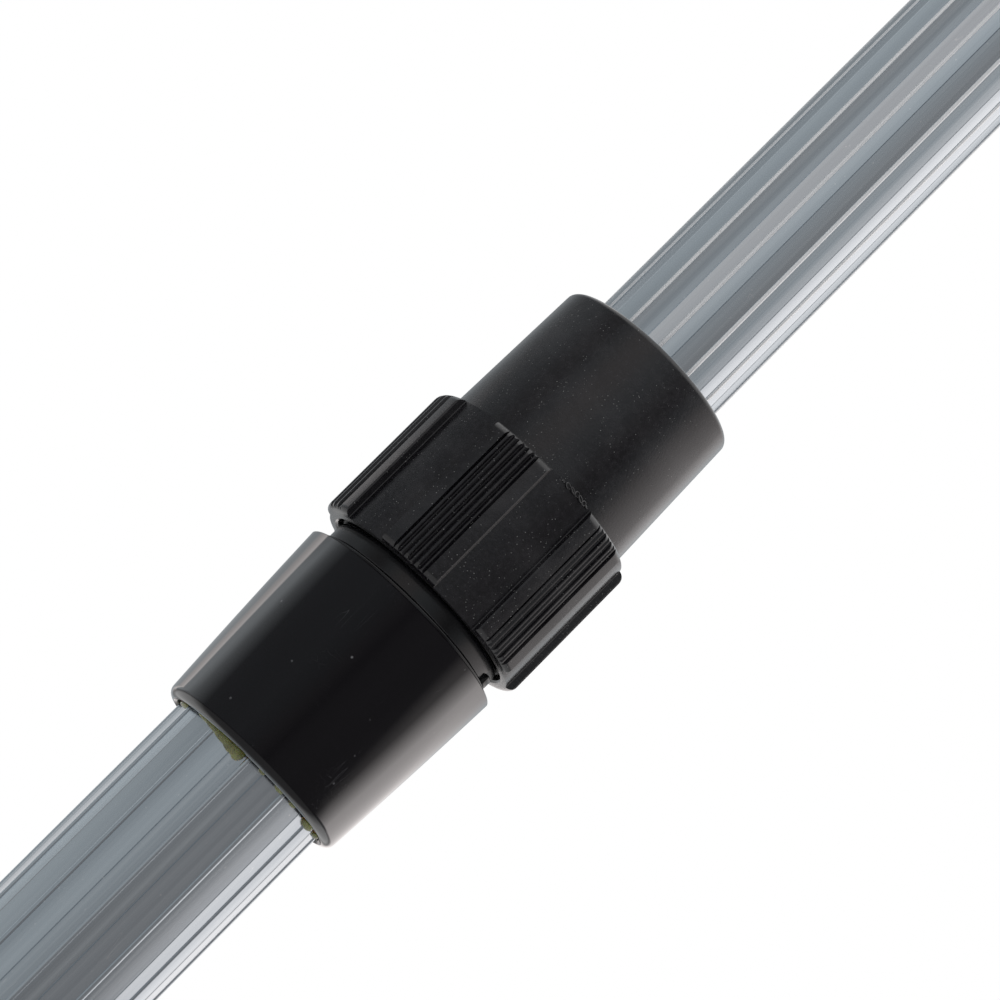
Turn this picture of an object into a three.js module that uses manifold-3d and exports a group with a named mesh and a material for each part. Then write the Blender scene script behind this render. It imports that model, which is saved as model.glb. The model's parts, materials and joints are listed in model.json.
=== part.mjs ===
// Two-section telescopic window cleaning pole with a twist lock, standing upright.
// Millimetres. +Z runs along the pole from the hand end to the tip, and the origin is the middle
// of the foot under the end cap. The side that faces -Y is the front. Angles are in degrees.
import * as THREE from "three";
import { mergeVertices } from "three/addons/utils/BufferGeometryUtils.js";
import Module from "manifold-3d";

// ---- Driving dimensions ----

// The two fluted aluminium tubes. The outer tube's bore leaves a gap round the inner tube.
const INNER_TUBE_RADIUS = 12.65;
const TELESCOPE_GAP = 1.35;
const TUBE_WALL = 1.0;
const OUTER_TUBE_LENGTH = 600;
const INNER_TUBE_LENGTH = 600;
const FLUTE_COUNT = 12;
const BEAD_HEIGHT = 0.15;
const LINE_DEPTH = 0.15;
const BEAD_TOP_HALF_ANGLE = 0.5;
const BEAD_FOOT_HALF_ANGLE = 1.4;
const LINE_BESIDE_BEAD_ANGLE = 12;
const LINE_HALF_ANGLE = 0.5;
const INNER_TUBE_TURN = -7;
const OUTER_TUBE_TURN = -4.4;

// Clearances: between fixed pieces, between running pieces, and round the guide bush.
const FIXED_GAP = 0.3;
const RUNNING_GAP = 0.35;
const BUSH_GAP = 0.15;

// Hand end: end cap with its hanging eye, and the grip above it.
const EYE_HEIGHT = 24;
const EYE_SIDE_INSET = 2.1;
const EYE_THICKNESS = 12;
const EYE_CORNER_ROUND = 8;
const EYE_HOLE_RADIUS = 6.5;
const EYE_HOLE_CENTRE = 13;
const CAP_FLOOR = 3;
const CAP_CHAMFER = 1;
const CAP_SKIRT_LENGTH = 18;
const CAP_SKIRT_WALL = 1.8;
const CAP_SPIGOT_LENGTH = 30;
const MOULDED_WALL = 2;
const GRIP_LENGTH = 130;
const GRIP_WALL = 2.4;
const GRIP_FLUTE_COUNT = 20;
const GRIP_FLUTE_DEPTH = 0.6;
const GRIP_BAND_LENGTH = 7;

// Glued collar: a land grips the tube at its foot, and its thin rim stands round the flange.
const COLLAR_LENGTH = 34;
const COLLAR_FOOT_WALL = 2.55;
const COLLAR_FOOT_ROUND = 1.5;
const COLLAR_SWELL = 0.3;
const COLLAR_RIM_WALL = 0.5;
const COLLAR_MOUTH_GAP = 1.05;
const COLLAR_LAND_LENGTH = 5;
const COLLAR_LAND_CHAMFER = 1;
const GLUE_BEAD_WIDTH = 1.5;
const GLUE_BEAD_HEIGHT = 0.9;

// Lock body: a socket over the tube's end, a flange just above the collar's rim, and the neck.
const TUBE_END_BELOW_RIM = 5.4;
const SOCKET_ABOVE_LAND = 1.6;
const BODY_SOCKET_WALL = 1.6;
const FLANGE_OVERHANG = 0.9;
const FLANGE_ABOVE_RIM = 0.8;
const FLANGE_THICKNESS = 1.4;
const STOP_LUG_ANGLE = 72;
const STOP_LUG = { radial: 1.6, along: 2.4, height: 1.8 };
const NECK_WALL = 2.4;
const NECK_SEAT_TOP = 4.3;
const NECK_TOP = 22;
const NECK_MOUTH_WALL = 0.5;
const NECK_MOUTH_DEPTH = 4.5;
const THREAD_ROUND = 1.0;
const THREAD_LEAD = 4;
const THREAD_START = 7.8;
const THREAD_END_MARGIN = 3.2;
const O_RING_ROUND = 0.9;

// Lock nut: a ribbed ring and a plain sleeve in one piece.
const NUT_ABOVE_RIM = 4;
const NUT_RING_LENGTH = 26;
const NUT_RING_WALL = 1.55;
const NUT_RING_CHAMFER = 1.3;
const NUT_PAD_HEIGHT = 1.3;
const NUT_PAD_COUNT = 6;
const NUT_PAD_ANGLE = 32.5;
const NUT_PAD_TURN = -16;
const NUT_RIB_COUNT = 6;
const NUT_RIB_PITCH_ANGLE = 3;
const NUT_RIB_DEPTH = 0.8;
const NUT_LOW_RIB_DROP = 0.35;
const NUT_COUNTERBORE_DEPTH = 2.8;
const SLEEVE_LENGTH = 27;
const SLEEVE_WALL = 1.55;
const SLEEVE_DRAFT = 0.7;
const SLEEVE_ROUND = 1.6;
const NUT_MOUTH_GAP = 0.45;
const NUT_MOUTH_LENGTH = 7;
const NUT_CONE_LENGTH = 6;

// Clamp ring: split, with a cone at each end and a bead that snaps into the nut.
const CLAMP_SEATED_DEPTH = 3;
const CLAMP_HEAD_ROOM = 3;
const CLAMP_BEAD_HEIGHT = 0.7;
const CLAMP_BEAD_LENGTH = 1.5;
const CLAMP_BEAD_ABOVE_NUT_RING = 3;
const CLAMP_SLOT_WIDTH = 2.5;
const CLAMP_SLOT_COUNT = 4;

// Foot of the inner tube: guide bush, plug and rivets.
const BUSH_LENGTH = 36;
const BUSH_ABOVE_END = 3;
const PLUG_LENGTH = 30;
const PLUG_FLANGE = 2.2;
const RIVET_RADIUS = 1.6;
const RIVET_LENGTH = 5;

// Tip: socket, cone, and the bolt and nut that join them.
const EXPOSED_AT_REST = 120;
const TIP_SKIRT_LENGTH = 22;
const TIP_SKIRT_WALL = 1.7;
const TIP_SPIGOT_LENGTH = 34;
const TIP_SHOULDER = 4;
const TIP_REGISTER_DEPTH = 1.5;
const CONE_INSET = 2.45;
const EDGE_CHAMFER = 0.5;
const CONE_LENGTH = 45;
const CONE_TAPER = 2.4;
const TIP_THREAD_LENGTH = 22;
const TIP_THREAD_STEP = 1.7;
const TIP_THREAD_ROUND = 1.25;
const TIP_THREAD_LEAD = 5;
const TIP_THREAD_TURNS = 3;
const BOLT_RADIUS = 2.5;
const BOLT_HEAD_RADIUS = 4.2;
const BOLT_HEAD_HEIGHT = 4;
const BOLT_HEAD_RECESS = 6;
const BOLT_KEY_ACROSS_FLATS = 4;
const BOLT_KEY_DEPTH = 2;
const TIP_NUT_ACROSS_FLATS = 8;
const TIP_NUT_HEIGHT = 4;
const TIP_NUT_POCKET_DEPTH = 8;

// Cross screws that hold the end cap and the tip socket, in pairs on the pole's two sides.
const SIDE_ANGLES = [-90, 90];
const SCREW_RADIUS = 1.5;
const SCREW_HEAD_RADIUS = 2.8;
const SCREW_HEAD_HEIGHT = 1.2;
const SCREW_HEAD_RECESS = 0.9;
const SCREW_LENGTH = 6;
const CROSS_SLOT = { width: 0.8, length: 3.2, depth: 0.7 };

// Facets round a full turn, and how far a cutting solid runs past what it cuts.
const ROUND_SIDES = 30;
const PIN_SIDES = 10;
const O_RING_SECTION_SIDES = 6;
const COLLAR_ARC_STEPS = 4;
const THREAD_STEPS_PER_TURN = 18;
const THREAD_SECTION_SIDES = 6;
const OVERSHOOT = 1;
const SUNK = 0.1;

// ---- Sizes that follow ----

const FACET_DROP = BEAD_HEIGHT;
const LINE_DROP = BEAD_HEIGHT + LINE_DEPTH;
const OUTER_BORE_RADIUS = INNER_TUBE_RADIUS + TELESCOPE_GAP;
const OUTER_TUBE_RADIUS = OUTER_BORE_RADIUS + TUBE_WALL;
const INNER_BORE_RADIUS = INNER_TUBE_RADIUS - TUBE_WALL;
const OUTER_BORE_CLEAR_RADIUS = OUTER_BORE_RADIUS - LINE_DROP;
const INNER_BORE_CLEAR_RADIUS = INNER_BORE_RADIUS - LINE_DROP;
const OVER_OUTER_TUBE = OUTER_TUBE_RADIUS + FIXED_GAP;
const OVER_INNER_TUBE = INNER_TUBE_RADIUS + FIXED_GAP;

const CAP_FLOOR_Z = EYE_HEIGHT + CAP_FLOOR;
const CAP_RADIUS = OVER_OUTER_TUBE + CAP_SKIRT_WALL;
const CAP_SCREW_Z = CAP_FLOOR_Z + CAP_SKIRT_LENGTH / 2;
const SPIGOT_RADIUS = OUTER_BORE_CLEAR_RADIUS - FIXED_GAP;
const OUTER_TUBE_FOOT = CAP_FLOOR_Z + FIXED_GAP;
const OUTER_TUBE_TOP = OUTER_TUBE_FOOT + OUTER_TUBE_LENGTH;
const GRIP_FOOT = CAP_FLOOR_Z + CAP_SKIRT_LENGTH + FIXED_GAP;
const GRIP_RADIUS = OVER_OUTER_TUBE + GRIP_WALL;

const BODY_SHOULDER_Z = OUTER_TUBE_TOP + FIXED_GAP;
const RIM_Z = BODY_SHOULDER_Z + TUBE_END_BELOW_RIM;
const BODY_BORE_RADIUS = INNER_TUBE_RADIUS + RUNNING_GAP;
const BODY_SOCKET_RADIUS = OVER_OUTER_TUBE + BODY_SOCKET_WALL;
const FLANGE_RADIUS = BODY_SOCKET_RADIUS + FLANGE_OVERHANG;
const FLANGE_TOP_Z = RIM_Z + FLANGE_ABOVE_RIM;
const THREAD_ROOT_RADIUS = BODY_BORE_RADIUS + NECK_WALL;
const THREAD_CREST_RADIUS = THREAD_ROOT_RADIUS + THREAD_ROUND;
const THREAD_TURNS = (NECK_TOP - THREAD_START - THREAD_END_MARGIN) / THREAD_LEAD;
const NECK_TOP_Z = RIM_Z + NECK_TOP;
const NECK_MOUTH_RADIUS = THREAD_ROOT_RADIUS - NECK_MOUTH_WALL;
const O_RING_CENTRE_RADIUS = THREAD_ROOT_RADIUS + FIXED_GAP + O_RING_ROUND;
const O_RING_Z = RIM_Z + NECK_SEAT_TOP + FIXED_GAP + O_RING_ROUND;

const COLLAR_FOOT_Z = RIM_Z - COLLAR_LENGTH;
const COLLAR_LAND_TOP_Z = COLLAR_FOOT_Z + COLLAR_LAND_LENGTH;
const BODY_FOOT_Z = COLLAR_LAND_TOP_Z + SOCKET_ABOVE_LAND;
const COLLAR_FOOT_RADIUS = OVER_OUTER_TUBE + COLLAR_FOOT_WALL;
const COLLAR_RIM_RADIUS = FLANGE_RADIUS + COLLAR_MOUTH_GAP + COLLAR_RIM_WALL;

const NUT_FOOT_Z = RIM_Z + NUT_ABOVE_RIM;
const NUT_RING_TOP_Z = NUT_FOOT_Z + NUT_RING_LENGTH;
const NUT_TOP_Z = NUT_RING_TOP_Z + SLEEVE_LENGTH;
const NUT_COUNTERBORE_RADIUS = O_RING_CENTRE_RADIUS + O_RING_ROUND + RUNNING_GAP;
const NUT_RING_RADIUS = NUT_COUNTERBORE_RADIUS + NUT_RING_WALL;
const NUT_PAD_RADIUS = NUT_RING_RADIUS + NUT_PAD_HEIGHT;
const NUT_BORE_RADIUS = THREAD_ROOT_RADIUS + RUNNING_GAP;
const NUT_MOUTH_RADIUS = INNER_TUBE_RADIUS + NUT_MOUTH_GAP;
const NUT_CONE_TOP_Z = NUT_TOP_Z - NUT_MOUTH_LENGTH;
const NUT_CONE_FOOT_Z = NUT_CONE_TOP_Z - NUT_CONE_LENGTH;

const CLAMP_BORE_RADIUS = OVER_INNER_TUBE;
const CLAMP_RADIUS = NUT_BORE_RADIUS - RUNNING_GAP;
const CLAMP_BEAD_RADIUS = CLAMP_RADIUS + CLAMP_BEAD_HEIGHT;
const CLAMP_FOOT_Z = NECK_TOP_Z - CLAMP_SEATED_DEPTH;
const CLAMP_TOP_Z = NUT_CONE_TOP_Z - CLAMP_HEAD_ROOM;
const CLAMP_LENGTH = CLAMP_TOP_Z - CLAMP_FOOT_Z;
const CLAMP_BEAD_Z = NUT_RING_TOP_Z + CLAMP_BEAD_ABOVE_NUT_RING;
const NUT_GROOVE_RADIUS = CLAMP_BEAD_RADIUS + RUNNING_GAP;
const SLEEVE_FOOT_RADIUS = NUT_GROOVE_RADIUS + SLEEVE_WALL;
const SLEEVE_TOP_RADIUS = SLEEVE_FOOT_RADIUS - SLEEVE_DRAFT;

const INNER_TUBE_TOP = NUT_TOP_Z + EXPOSED_AT_REST;
const INNER_TUBE_FOOT = INNER_TUBE_TOP - INNER_TUBE_LENGTH;
const BUSH_FOOT_Z = INNER_TUBE_FOOT + BUSH_ABOVE_END;
const BUSH_RADIUS = OUTER_BORE_RADIUS - BUSH_GAP;
const BUSH_RIVET_Z = BUSH_FOOT_Z + BUSH_LENGTH / 2;
const BUSH_RIVET_FACE = OUTER_BORE_CLEAR_RADIUS - RUNNING_GAP;
const PLUG_RADIUS = INNER_BORE_CLEAR_RADIUS - FIXED_GAP;

const TIP_SHOULDER_Z = INNER_TUBE_TOP + FIXED_GAP;
const TIP_SOCKET_RADIUS = OVER_INNER_TUBE + TIP_SKIRT_WALL;
const TIP_SOCKET_FOOT_Z = INNER_TUBE_TOP - TIP_SPIGOT_LENGTH;
const TIP_REGISTER_Z = TIP_SHOULDER_Z + TIP_SHOULDER;
const TIP_SOCKET_TOP_Z = TIP_REGISTER_Z + TIP_REGISTER_DEPTH;
const TIP_SCREW_Z = INNER_TUBE_TOP - TIP_SKIRT_LENGTH / 2;
const CONE_FOOT_Z = TIP_REGISTER_Z + FIXED_GAP;
const CONE_TOP_Z = CONE_FOOT_Z + CONE_LENGTH;
const CONE_FOOT_RADIUS = TIP_SOCKET_RADIUS - CONE_INSET;
const CONE_TOP_RADIUS = CONE_FOOT_RADIUS - CONE_TAPER;
const TIP_THREAD_ROOT = CONE_TOP_RADIUS - TIP_THREAD_STEP;
const TIP_TOP_Z = CONE_TOP_Z + TIP_THREAD_LENGTH;
const BOLT_HOLE_RADIUS = BOLT_RADIUS + FIXED_GAP;
const BOLT_SEAT_Z = TIP_TOP_Z - BOLT_HEAD_RECESS;
const TIP_NUT_Z = TIP_SOCKET_FOOT_Z + TIP_NUT_POCKET_DEPTH - TIP_NUT_HEIGHT - FIXED_GAP;

// ---- Solids ----

const wasm = await Module();
wasm.setup();

// A closed geometry as a solid, with its faces turned outwards.
function solidOf(geometry) {
  const bare = geometry.index ? geometry.toNonIndexed() : geometry;
  bare.deleteAttribute("normal");
  bare.deleteAttribute("uv");
  const merged = mergeVertices(bare);
  const build = (triVerts) => {
    const vertProperties = merged.attributes.position.array;
    return new wasm.Manifold(new wasm.Mesh({ numProp: 3, vertProperties, triVerts }));
  };
  const faces = new Uint32Array(merged.index.array);
  const solid = build(faces);
  return solid.volume() > 0 ? solid : build(faces.reverse());
}

function geometryOf(solid) {
  const { vertProperties, triVerts } = solid.getMesh();
  const geometry = new THREE.BufferGeometry();
  geometry.setAttribute("position", new THREE.BufferAttribute(vertProperties, 3));
  geometry.setIndex(new THREE.BufferAttribute(triVerts, 1));
  const flat = geometry.toNonIndexed();
  flat.computeVertexNormals();
  return flat;
}

// A point at this radius and angle, where 0 is the front and positive angles go towards +X.
function polar(radius, angle) {
  const turn = THREE.MathUtils.degToRad(angle - 90);
  return new THREE.Vector2(radius * Math.cos(turn), radius * Math.sin(turn));
}

// A profile of [radius, height] points turned about Z. It starts and ends on the axis, or closes.
function turned(profile, sides = ROUND_SIDES) {
  const points = profile.map(([radius, height]) => new THREE.Vector2(radius, height));
  if (profile[0][0] > 0 || profile[profile.length - 1][0] > 0) {
    points.push(points[0].clone());
  }
  return solidOf(new THREE.LatheGeometry(points, sides).rotateX(Math.PI / 2));
}

// An outline, with an optional hole, raised from one height to another.
function raised(outline, foot, top, hole = null) {
  const shape = new THREE.Shape(outline);
  if (hole) {
    shape.holes.push(new THREE.Path(hole));
  }
  const geometry = new THREE.ExtrudeGeometry(shape, { depth: top - foot, bevelEnabled: false });
  return solidOf(geometry.translate(0, 0, foot));
}

function circle(radius, sides = ROUND_SIDES) {
  return Array.from({ length: sides }, (_, i) => polar(radius, (i * 360) / sides));
}

// A round pin that points outwards from the axis of the pole, from one distance to another.
function crossPin(radius, from, to, angle, height, sides = PIN_SIDES) {
  const pin = new THREE.CylinderGeometry(radius, radius, to - from, sides);
  pin.rotateZ(-Math.PI / 2);
  pin.translate((from + to) / 2, 0, 0);
  pin.rotateZ(THREE.MathUtils.degToRad(angle - 90));
  return solidOf(pin.translate(0, 0, height));
}

// A box that points outwards from the axis of the pole.
function crossBox(from, to, along, height, angle, middle) {
  const box = new THREE.BoxGeometry(to - from, along, height);
  box.translate((from + to) / 2, 0, 0);
  box.rotateZ(THREE.MathUtils.degToRad(angle - 90));
  return solidOf(box.translate(0, 0, middle));
}

// A round section swept along a right-hand helix.
class Helix extends THREE.Curve {
  constructor(radius, lead, turns, foot) {
    super();
    Object.assign(this, { radius, lead, turns, foot });
  }

  getPoint(t, target = new THREE.Vector3()) {
    const turn = 2 * Math.PI * this.turns * t;
    const rise = this.foot + this.lead * this.turns * t;
    return target.set(this.radius * Math.cos(turn), this.radius * Math.sin(turn), rise);
  }
}

function threadRidge(radius, round, lead, turns, foot) {
  const options = {
    steps: Math.round(turns * THREAD_STEPS_PER_TURN),
    extrudePath: new Helix(radius, lead, turns, foot),
    bevelEnabled: false,
  };
  return solidOf(new THREE.ExtrudeGeometry(new THREE.Shape(circle(round, THREAD_SECTION_SIDES)), options));
}

function joined(...solids) {
  return solids.reduce((sum, solid) => sum.add(solid));
}

function cut(solid, ...tools) {
  return tools.reduce((rest, tool) => rest.subtract(tool), solid);
}

// ---- Outlines ----

// The tubes' section: shallow facets with a fine raised bead and a fine sunk line on each flute.
function flutedOutline(radius, turn) {
  const pitch = 360 / FLUTE_COUNT;
  const points = [];
  for (let i = 0; i < FLUTE_COUNT; i += 1) {
    const start = turn + i * pitch;
    const line = i % 2 ? pitch - LINE_BESIDE_BEAD_ANGLE : LINE_BESIDE_BEAD_ANGLE;
    const flute = [
      [-BEAD_FOOT_HALF_ANGLE, FACET_DROP],
      [-BEAD_TOP_HALF_ANGLE, 0],
      [BEAD_TOP_HALF_ANGLE, 0],
      [BEAD_FOOT_HALF_ANGLE, FACET_DROP],
      [line - LINE_HALF_ANGLE, FACET_DROP],
      [line, LINE_DROP],
      [line + LINE_HALF_ANGLE, FACET_DROP],
    ];
    flute.forEach(([angle, drop]) => points.push(polar(radius - drop, start + angle)));
  }
  return points;
}

// The nut's grip ring: raised pads, each with high and low ribs between two plain bands.
function nutOutline() {
  const points = [];
  const ribs = (NUT_RIB_COUNT - 1) * NUT_RIB_PITCH_ANGLE;
  const quarter = NUT_RIB_PITCH_ANGLE / 4;
  for (let pad = 0; pad < NUT_PAD_COUNT; pad += 1) {
    const middle = NUT_PAD_TURN + (pad * 360) / NUT_PAD_COUNT;
    points.push(polar(NUT_RING_RADIUS, middle - NUT_PAD_ANGLE / 2));
    points.push(polar(NUT_PAD_RADIUS, middle - NUT_PAD_ANGLE / 2));
    for (let rib = 0; rib <= NUT_RIB_COUNT; rib += 1) {
      const groove = middle - ribs / 2 + (rib - 0.5) * NUT_RIB_PITCH_ANGLE;
      const before = rib % 2 || rib === 0 ? 0 : NUT_LOW_RIB_DROP;
      const after = rib % 2 && rib < NUT_RIB_COUNT ? NUT_LOW_RIB_DROP : 0;
      points.push(polar(NUT_PAD_RADIUS - before, groove - quarter));
      points.push(polar(NUT_PAD_RADIUS - NUT_RIB_DEPTH, groove));
      points.push(polar(NUT_PAD_RADIUS - after, groove + quarter));
    }
    points.push(polar(NUT_PAD_RADIUS, middle + NUT_PAD_ANGLE / 2));
    points.push(polar(NUT_RING_RADIUS, middle + NUT_PAD_ANGLE / 2));
    points.push(polar(NUT_RING_RADIUS, middle + 180 / NUT_PAD_COUNT));
  }
  return points;
}

// ---- Materials ----

function finish(color, roughness, metalness = 0) {
  return () => new THREE.MeshStandardMaterial({ color, roughness, metalness });
}

const tubeAluminium = finish(0xb4bac0, 0.35, 1);
const glossBlack = finish(0x08080a, 0.12);
const satinBlack = finish(0x17171a, 0.45);
const mouldedBlack = finish(0x101012, 0.5);
const softBlack = finish(0x1b1b1d, 0.8);
const driedGlue = finish(0x8f8a4a, 0.3);
const zincSteel = finish(0xa8abaf, 0.3, 1);

// ---- Hand end ----

function endCap() {
  const floor = CAP_FLOOR_Z;
  const skirtTop = floor + CAP_SKIRT_LENGTH;
  const spigotTop = floor + CAP_SPIGOT_LENGTH;
  const shell = turned([
    [0, EYE_HEIGHT],
    [CAP_RADIUS - CAP_CHAMFER, EYE_HEIGHT],
    [CAP_RADIUS, EYE_HEIGHT + CAP_CHAMFER],
    [CAP_RADIUS, skirtTop],
    [OVER_OUTER_TUBE, skirtTop],
    [OVER_OUTER_TUBE, floor],
    [SPIGOT_RADIUS, floor],
    [SPIGOT_RADIUS, spigotTop],
    [SPIGOT_RADIUS - MOULDED_WALL, spigotTop],
    [SPIGOT_RADIUS - MOULDED_WALL, floor + MOULDED_WALL],
    [0, floor + MOULDED_WALL],
  ]);
  const eye = new THREE.Shape();
  const side = CAP_RADIUS - EYE_SIDE_INSET;
  const round = EYE_CORNER_ROUND;
  const top = EYE_HEIGHT + CAP_CHAMFER;
  eye.moveTo(-side, top);
  eye.lineTo(-side, round);
  eye.absarc(round - side, round, round, Math.PI, 1.5 * Math.PI, false);
  eye.absarc(side - round, round, round, 1.5 * Math.PI, 2 * Math.PI, false);
  eye.lineTo(side, top);
  const hole = new THREE.Path();
  hole.absarc(0, EYE_HOLE_CENTRE, EYE_HOLE_RADIUS, 0, 2 * Math.PI, true);
  eye.holes.push(hole);
  const plate = new THREE.ExtrudeGeometry(eye, {
    depth: EYE_THICKNESS,
    bevelEnabled: false,
    curveSegments: 6,
  });
  plate.rotateX(Math.PI / 2).translate(0, EYE_THICKNESS / 2, 0);
  const holes = SIDE_ANGLES.map((angle) => screwHole(angle, CAP_SCREW_Z, CAP_RADIUS));
  return cut(joined(shell, solidOf(plate)), ...holes);
}

function handleGrip() {
  const top = GRIP_FOOT + GRIP_LENGTH;
  const flutes = [];
  for (let i = 0; i < GRIP_FLUTE_COUNT; i += 1) {
    const start = (i * 360) / GRIP_FLUTE_COUNT;
    const step = 360 / GRIP_FLUTE_COUNT / 4;
    flutes.push(polar(GRIP_RADIUS, start - step));
    flutes.push(polar(GRIP_RADIUS, start + step));
    flutes.push(polar(GRIP_RADIUS - GRIP_FLUTE_DEPTH, start + 2 * step));
  }
  const middle = raised(flutes, GRIP_FOOT + GRIP_BAND_LENGTH, top - GRIP_BAND_LENGTH);
  const band = (foot) => raised(circle(GRIP_RADIUS), foot, foot + GRIP_BAND_LENGTH);
  const bore = raised(circle(OVER_OUTER_TUBE), GRIP_FOOT - OVERSHOOT, top + OVERSHOOT);
  return cut(joined(middle, band(GRIP_FOOT), band(top - GRIP_BAND_LENGTH)), bore);
}

// ---- Cross screws ----

function screwHole(angle, height, surface) {
  const seat = surface - SCREW_HEAD_RECESS;
  const shank = SCREW_RADIUS + FIXED_GAP;
  const end = seat - SCREW_LENGTH - FIXED_GAP;
  const recess = crossPin(SCREW_HEAD_RADIUS + FIXED_GAP, seat, surface + OVERSHOOT, angle, height);
  return joined(crossPin(shank, end, seat + OVERSHOOT, angle, height), recess);
}

function crossScrew(angle, height, surface) {
  const seat = surface - SCREW_HEAD_RECESS + FIXED_GAP;
  const face = seat + SCREW_HEAD_HEIGHT;
  const { width, length, depth } = CROSS_SLOT;
  const shank = crossPin(SCREW_RADIUS, seat - SCREW_LENGTH, seat + SUNK, angle, height);
  const head = crossPin(SCREW_HEAD_RADIUS, seat, face, angle, height);
  const flat = crossBox(face - depth, face + OVERSHOOT, length, width, angle, height);
  const upright = crossBox(face - depth, face + OVERSHOOT, width, length, angle, height);
  return cut(joined(shank, head), flat, upright);
}

// ---- Tubes ----

function outerTube() {
  const bore = flutedOutline(OUTER_BORE_RADIUS, OUTER_TUBE_TURN);
  const section = flutedOutline(OUTER_TUBE_RADIUS, OUTER_TUBE_TURN);
  const tube = raised(section, OUTER_TUBE_FOOT, OUTER_TUBE_TOP, bore);
  return cut(tube, ...SIDE_ANGLES.map((angle) => screwHole(angle, CAP_SCREW_Z, CAP_RADIUS)));
}

function innerTube() {
  const bore = flutedOutline(INNER_BORE_RADIUS, INNER_TUBE_TURN);
  const section = flutedOutline(INNER_TUBE_RADIUS, INNER_TUBE_TURN);
  const tube = raised(section, INNER_TUBE_FOOT, INNER_TUBE_TOP, bore);
  const tipHoles = SIDE_ANGLES.map((angle) => screwHole(angle, TIP_SCREW_Z, TIP_SOCKET_RADIUS));
  const bushHoles = SIDE_ANGLES.map((angle) => rivetHole(angle));
  return cut(tube, ...tipHoles, ...bushHoles);
}

// ---- Twist lock ----

// The outside flares from the foot to the rim in one shallow arc.
function collar() {
  const steps = COLLAR_ARC_STEPS;
  const foot = COLLAR_FOOT_ROUND;
  const outside = [
    [COLLAR_FOOT_RADIUS - foot, COLLAR_FOOT_Z],
    [COLLAR_FOOT_RADIUS - foot * (1 - Math.SQRT1_2), COLLAR_FOOT_Z + foot * (1 - Math.SQRT1_2)],
  ];
  for (let i = 0; i <= steps; i += 1) {
    const t = i / steps;
    const swell = 4 * COLLAR_SWELL * t * (1 - t);
    const radius = THREE.MathUtils.lerp(COLLAR_FOOT_RADIUS, COLLAR_RIM_RADIUS, t) + swell;
    outside.push([radius, THREE.MathUtils.lerp(COLLAR_FOOT_Z + foot, RIM_Z, t)]);
  }
  const hollow = BODY_SOCKET_RADIUS + FIXED_GAP;
  return turned([
    ...outside,
    [COLLAR_RIM_RADIUS - COLLAR_RIM_WALL, RIM_Z],
    [hollow, RIM_Z - TUBE_END_BELOW_RIM],
    [hollow, COLLAR_LAND_TOP_Z],
    [OVER_OUTER_TUBE, COLLAR_LAND_TOP_Z - COLLAR_LAND_CHAMFER],
    [OVER_OUTER_TUBE, COLLAR_FOOT_Z],
  ]);
}

function collarGlue() {
  const inside = OVER_OUTER_TUBE;
  const top = COLLAR_FOOT_Z - FIXED_GAP;
  return turned([
    [inside, top],
    [inside, top - GLUE_BEAD_HEIGHT],
    [inside + GLUE_BEAD_WIDTH / 2, top - GLUE_BEAD_HEIGHT],
    [inside + GLUE_BEAD_WIDTH, top],
  ]);
}

function lockBody() {
  const profile = turned([
    [OVER_OUTER_TUBE, BODY_FOOT_Z],
    [BODY_SOCKET_RADIUS, BODY_FOOT_Z],
    [BODY_SOCKET_RADIUS, FLANGE_TOP_Z - FLANGE_THICKNESS],
    [FLANGE_RADIUS, FLANGE_TOP_Z - FLANGE_THICKNESS],
    [FLANGE_RADIUS, FLANGE_TOP_Z],
    [THREAD_CREST_RADIUS, FLANGE_TOP_Z],
    [THREAD_CREST_RADIUS, RIM_Z + NECK_SEAT_TOP],
    [THREAD_ROOT_RADIUS, RIM_Z + NECK_SEAT_TOP],
    [THREAD_ROOT_RADIUS, NECK_TOP_Z],
    [NECK_MOUTH_RADIUS, NECK_TOP_Z],
    [BODY_BORE_RADIUS, NECK_TOP_Z - NECK_MOUTH_DEPTH],
    [BODY_BORE_RADIUS, BODY_SHOULDER_Z],
    [OVER_OUTER_TUBE, BODY_SHOULDER_Z],
  ]);
  const start = RIM_Z + THREAD_START;
  const thread = threadRidge(THREAD_ROOT_RADIUS, THREAD_ROUND, THREAD_LEAD, THREAD_TURNS, start);
  const { radial, along, height } = STOP_LUG;
  const lug = crossBox(
    FLANGE_RADIUS - radial,
    FLANGE_RADIUS - SUNK,
    along,
    height,
    STOP_LUG_ANGLE,
    FLANGE_TOP_Z + height / 2 - SUNK,
  );
  return joined(profile, thread, lug);
}

function neckORing() {
  const profile = Array.from({ length: O_RING_SECTION_SIDES }, (_, i) => {
    const turn = (2 * Math.PI * i) / O_RING_SECTION_SIDES;
    const radius = O_RING_CENTRE_RADIUS + O_RING_ROUND * Math.cos(turn);
    return [radius, O_RING_Z + O_RING_ROUND * Math.sin(turn)];
  });
  return turned(profile);
}

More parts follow.
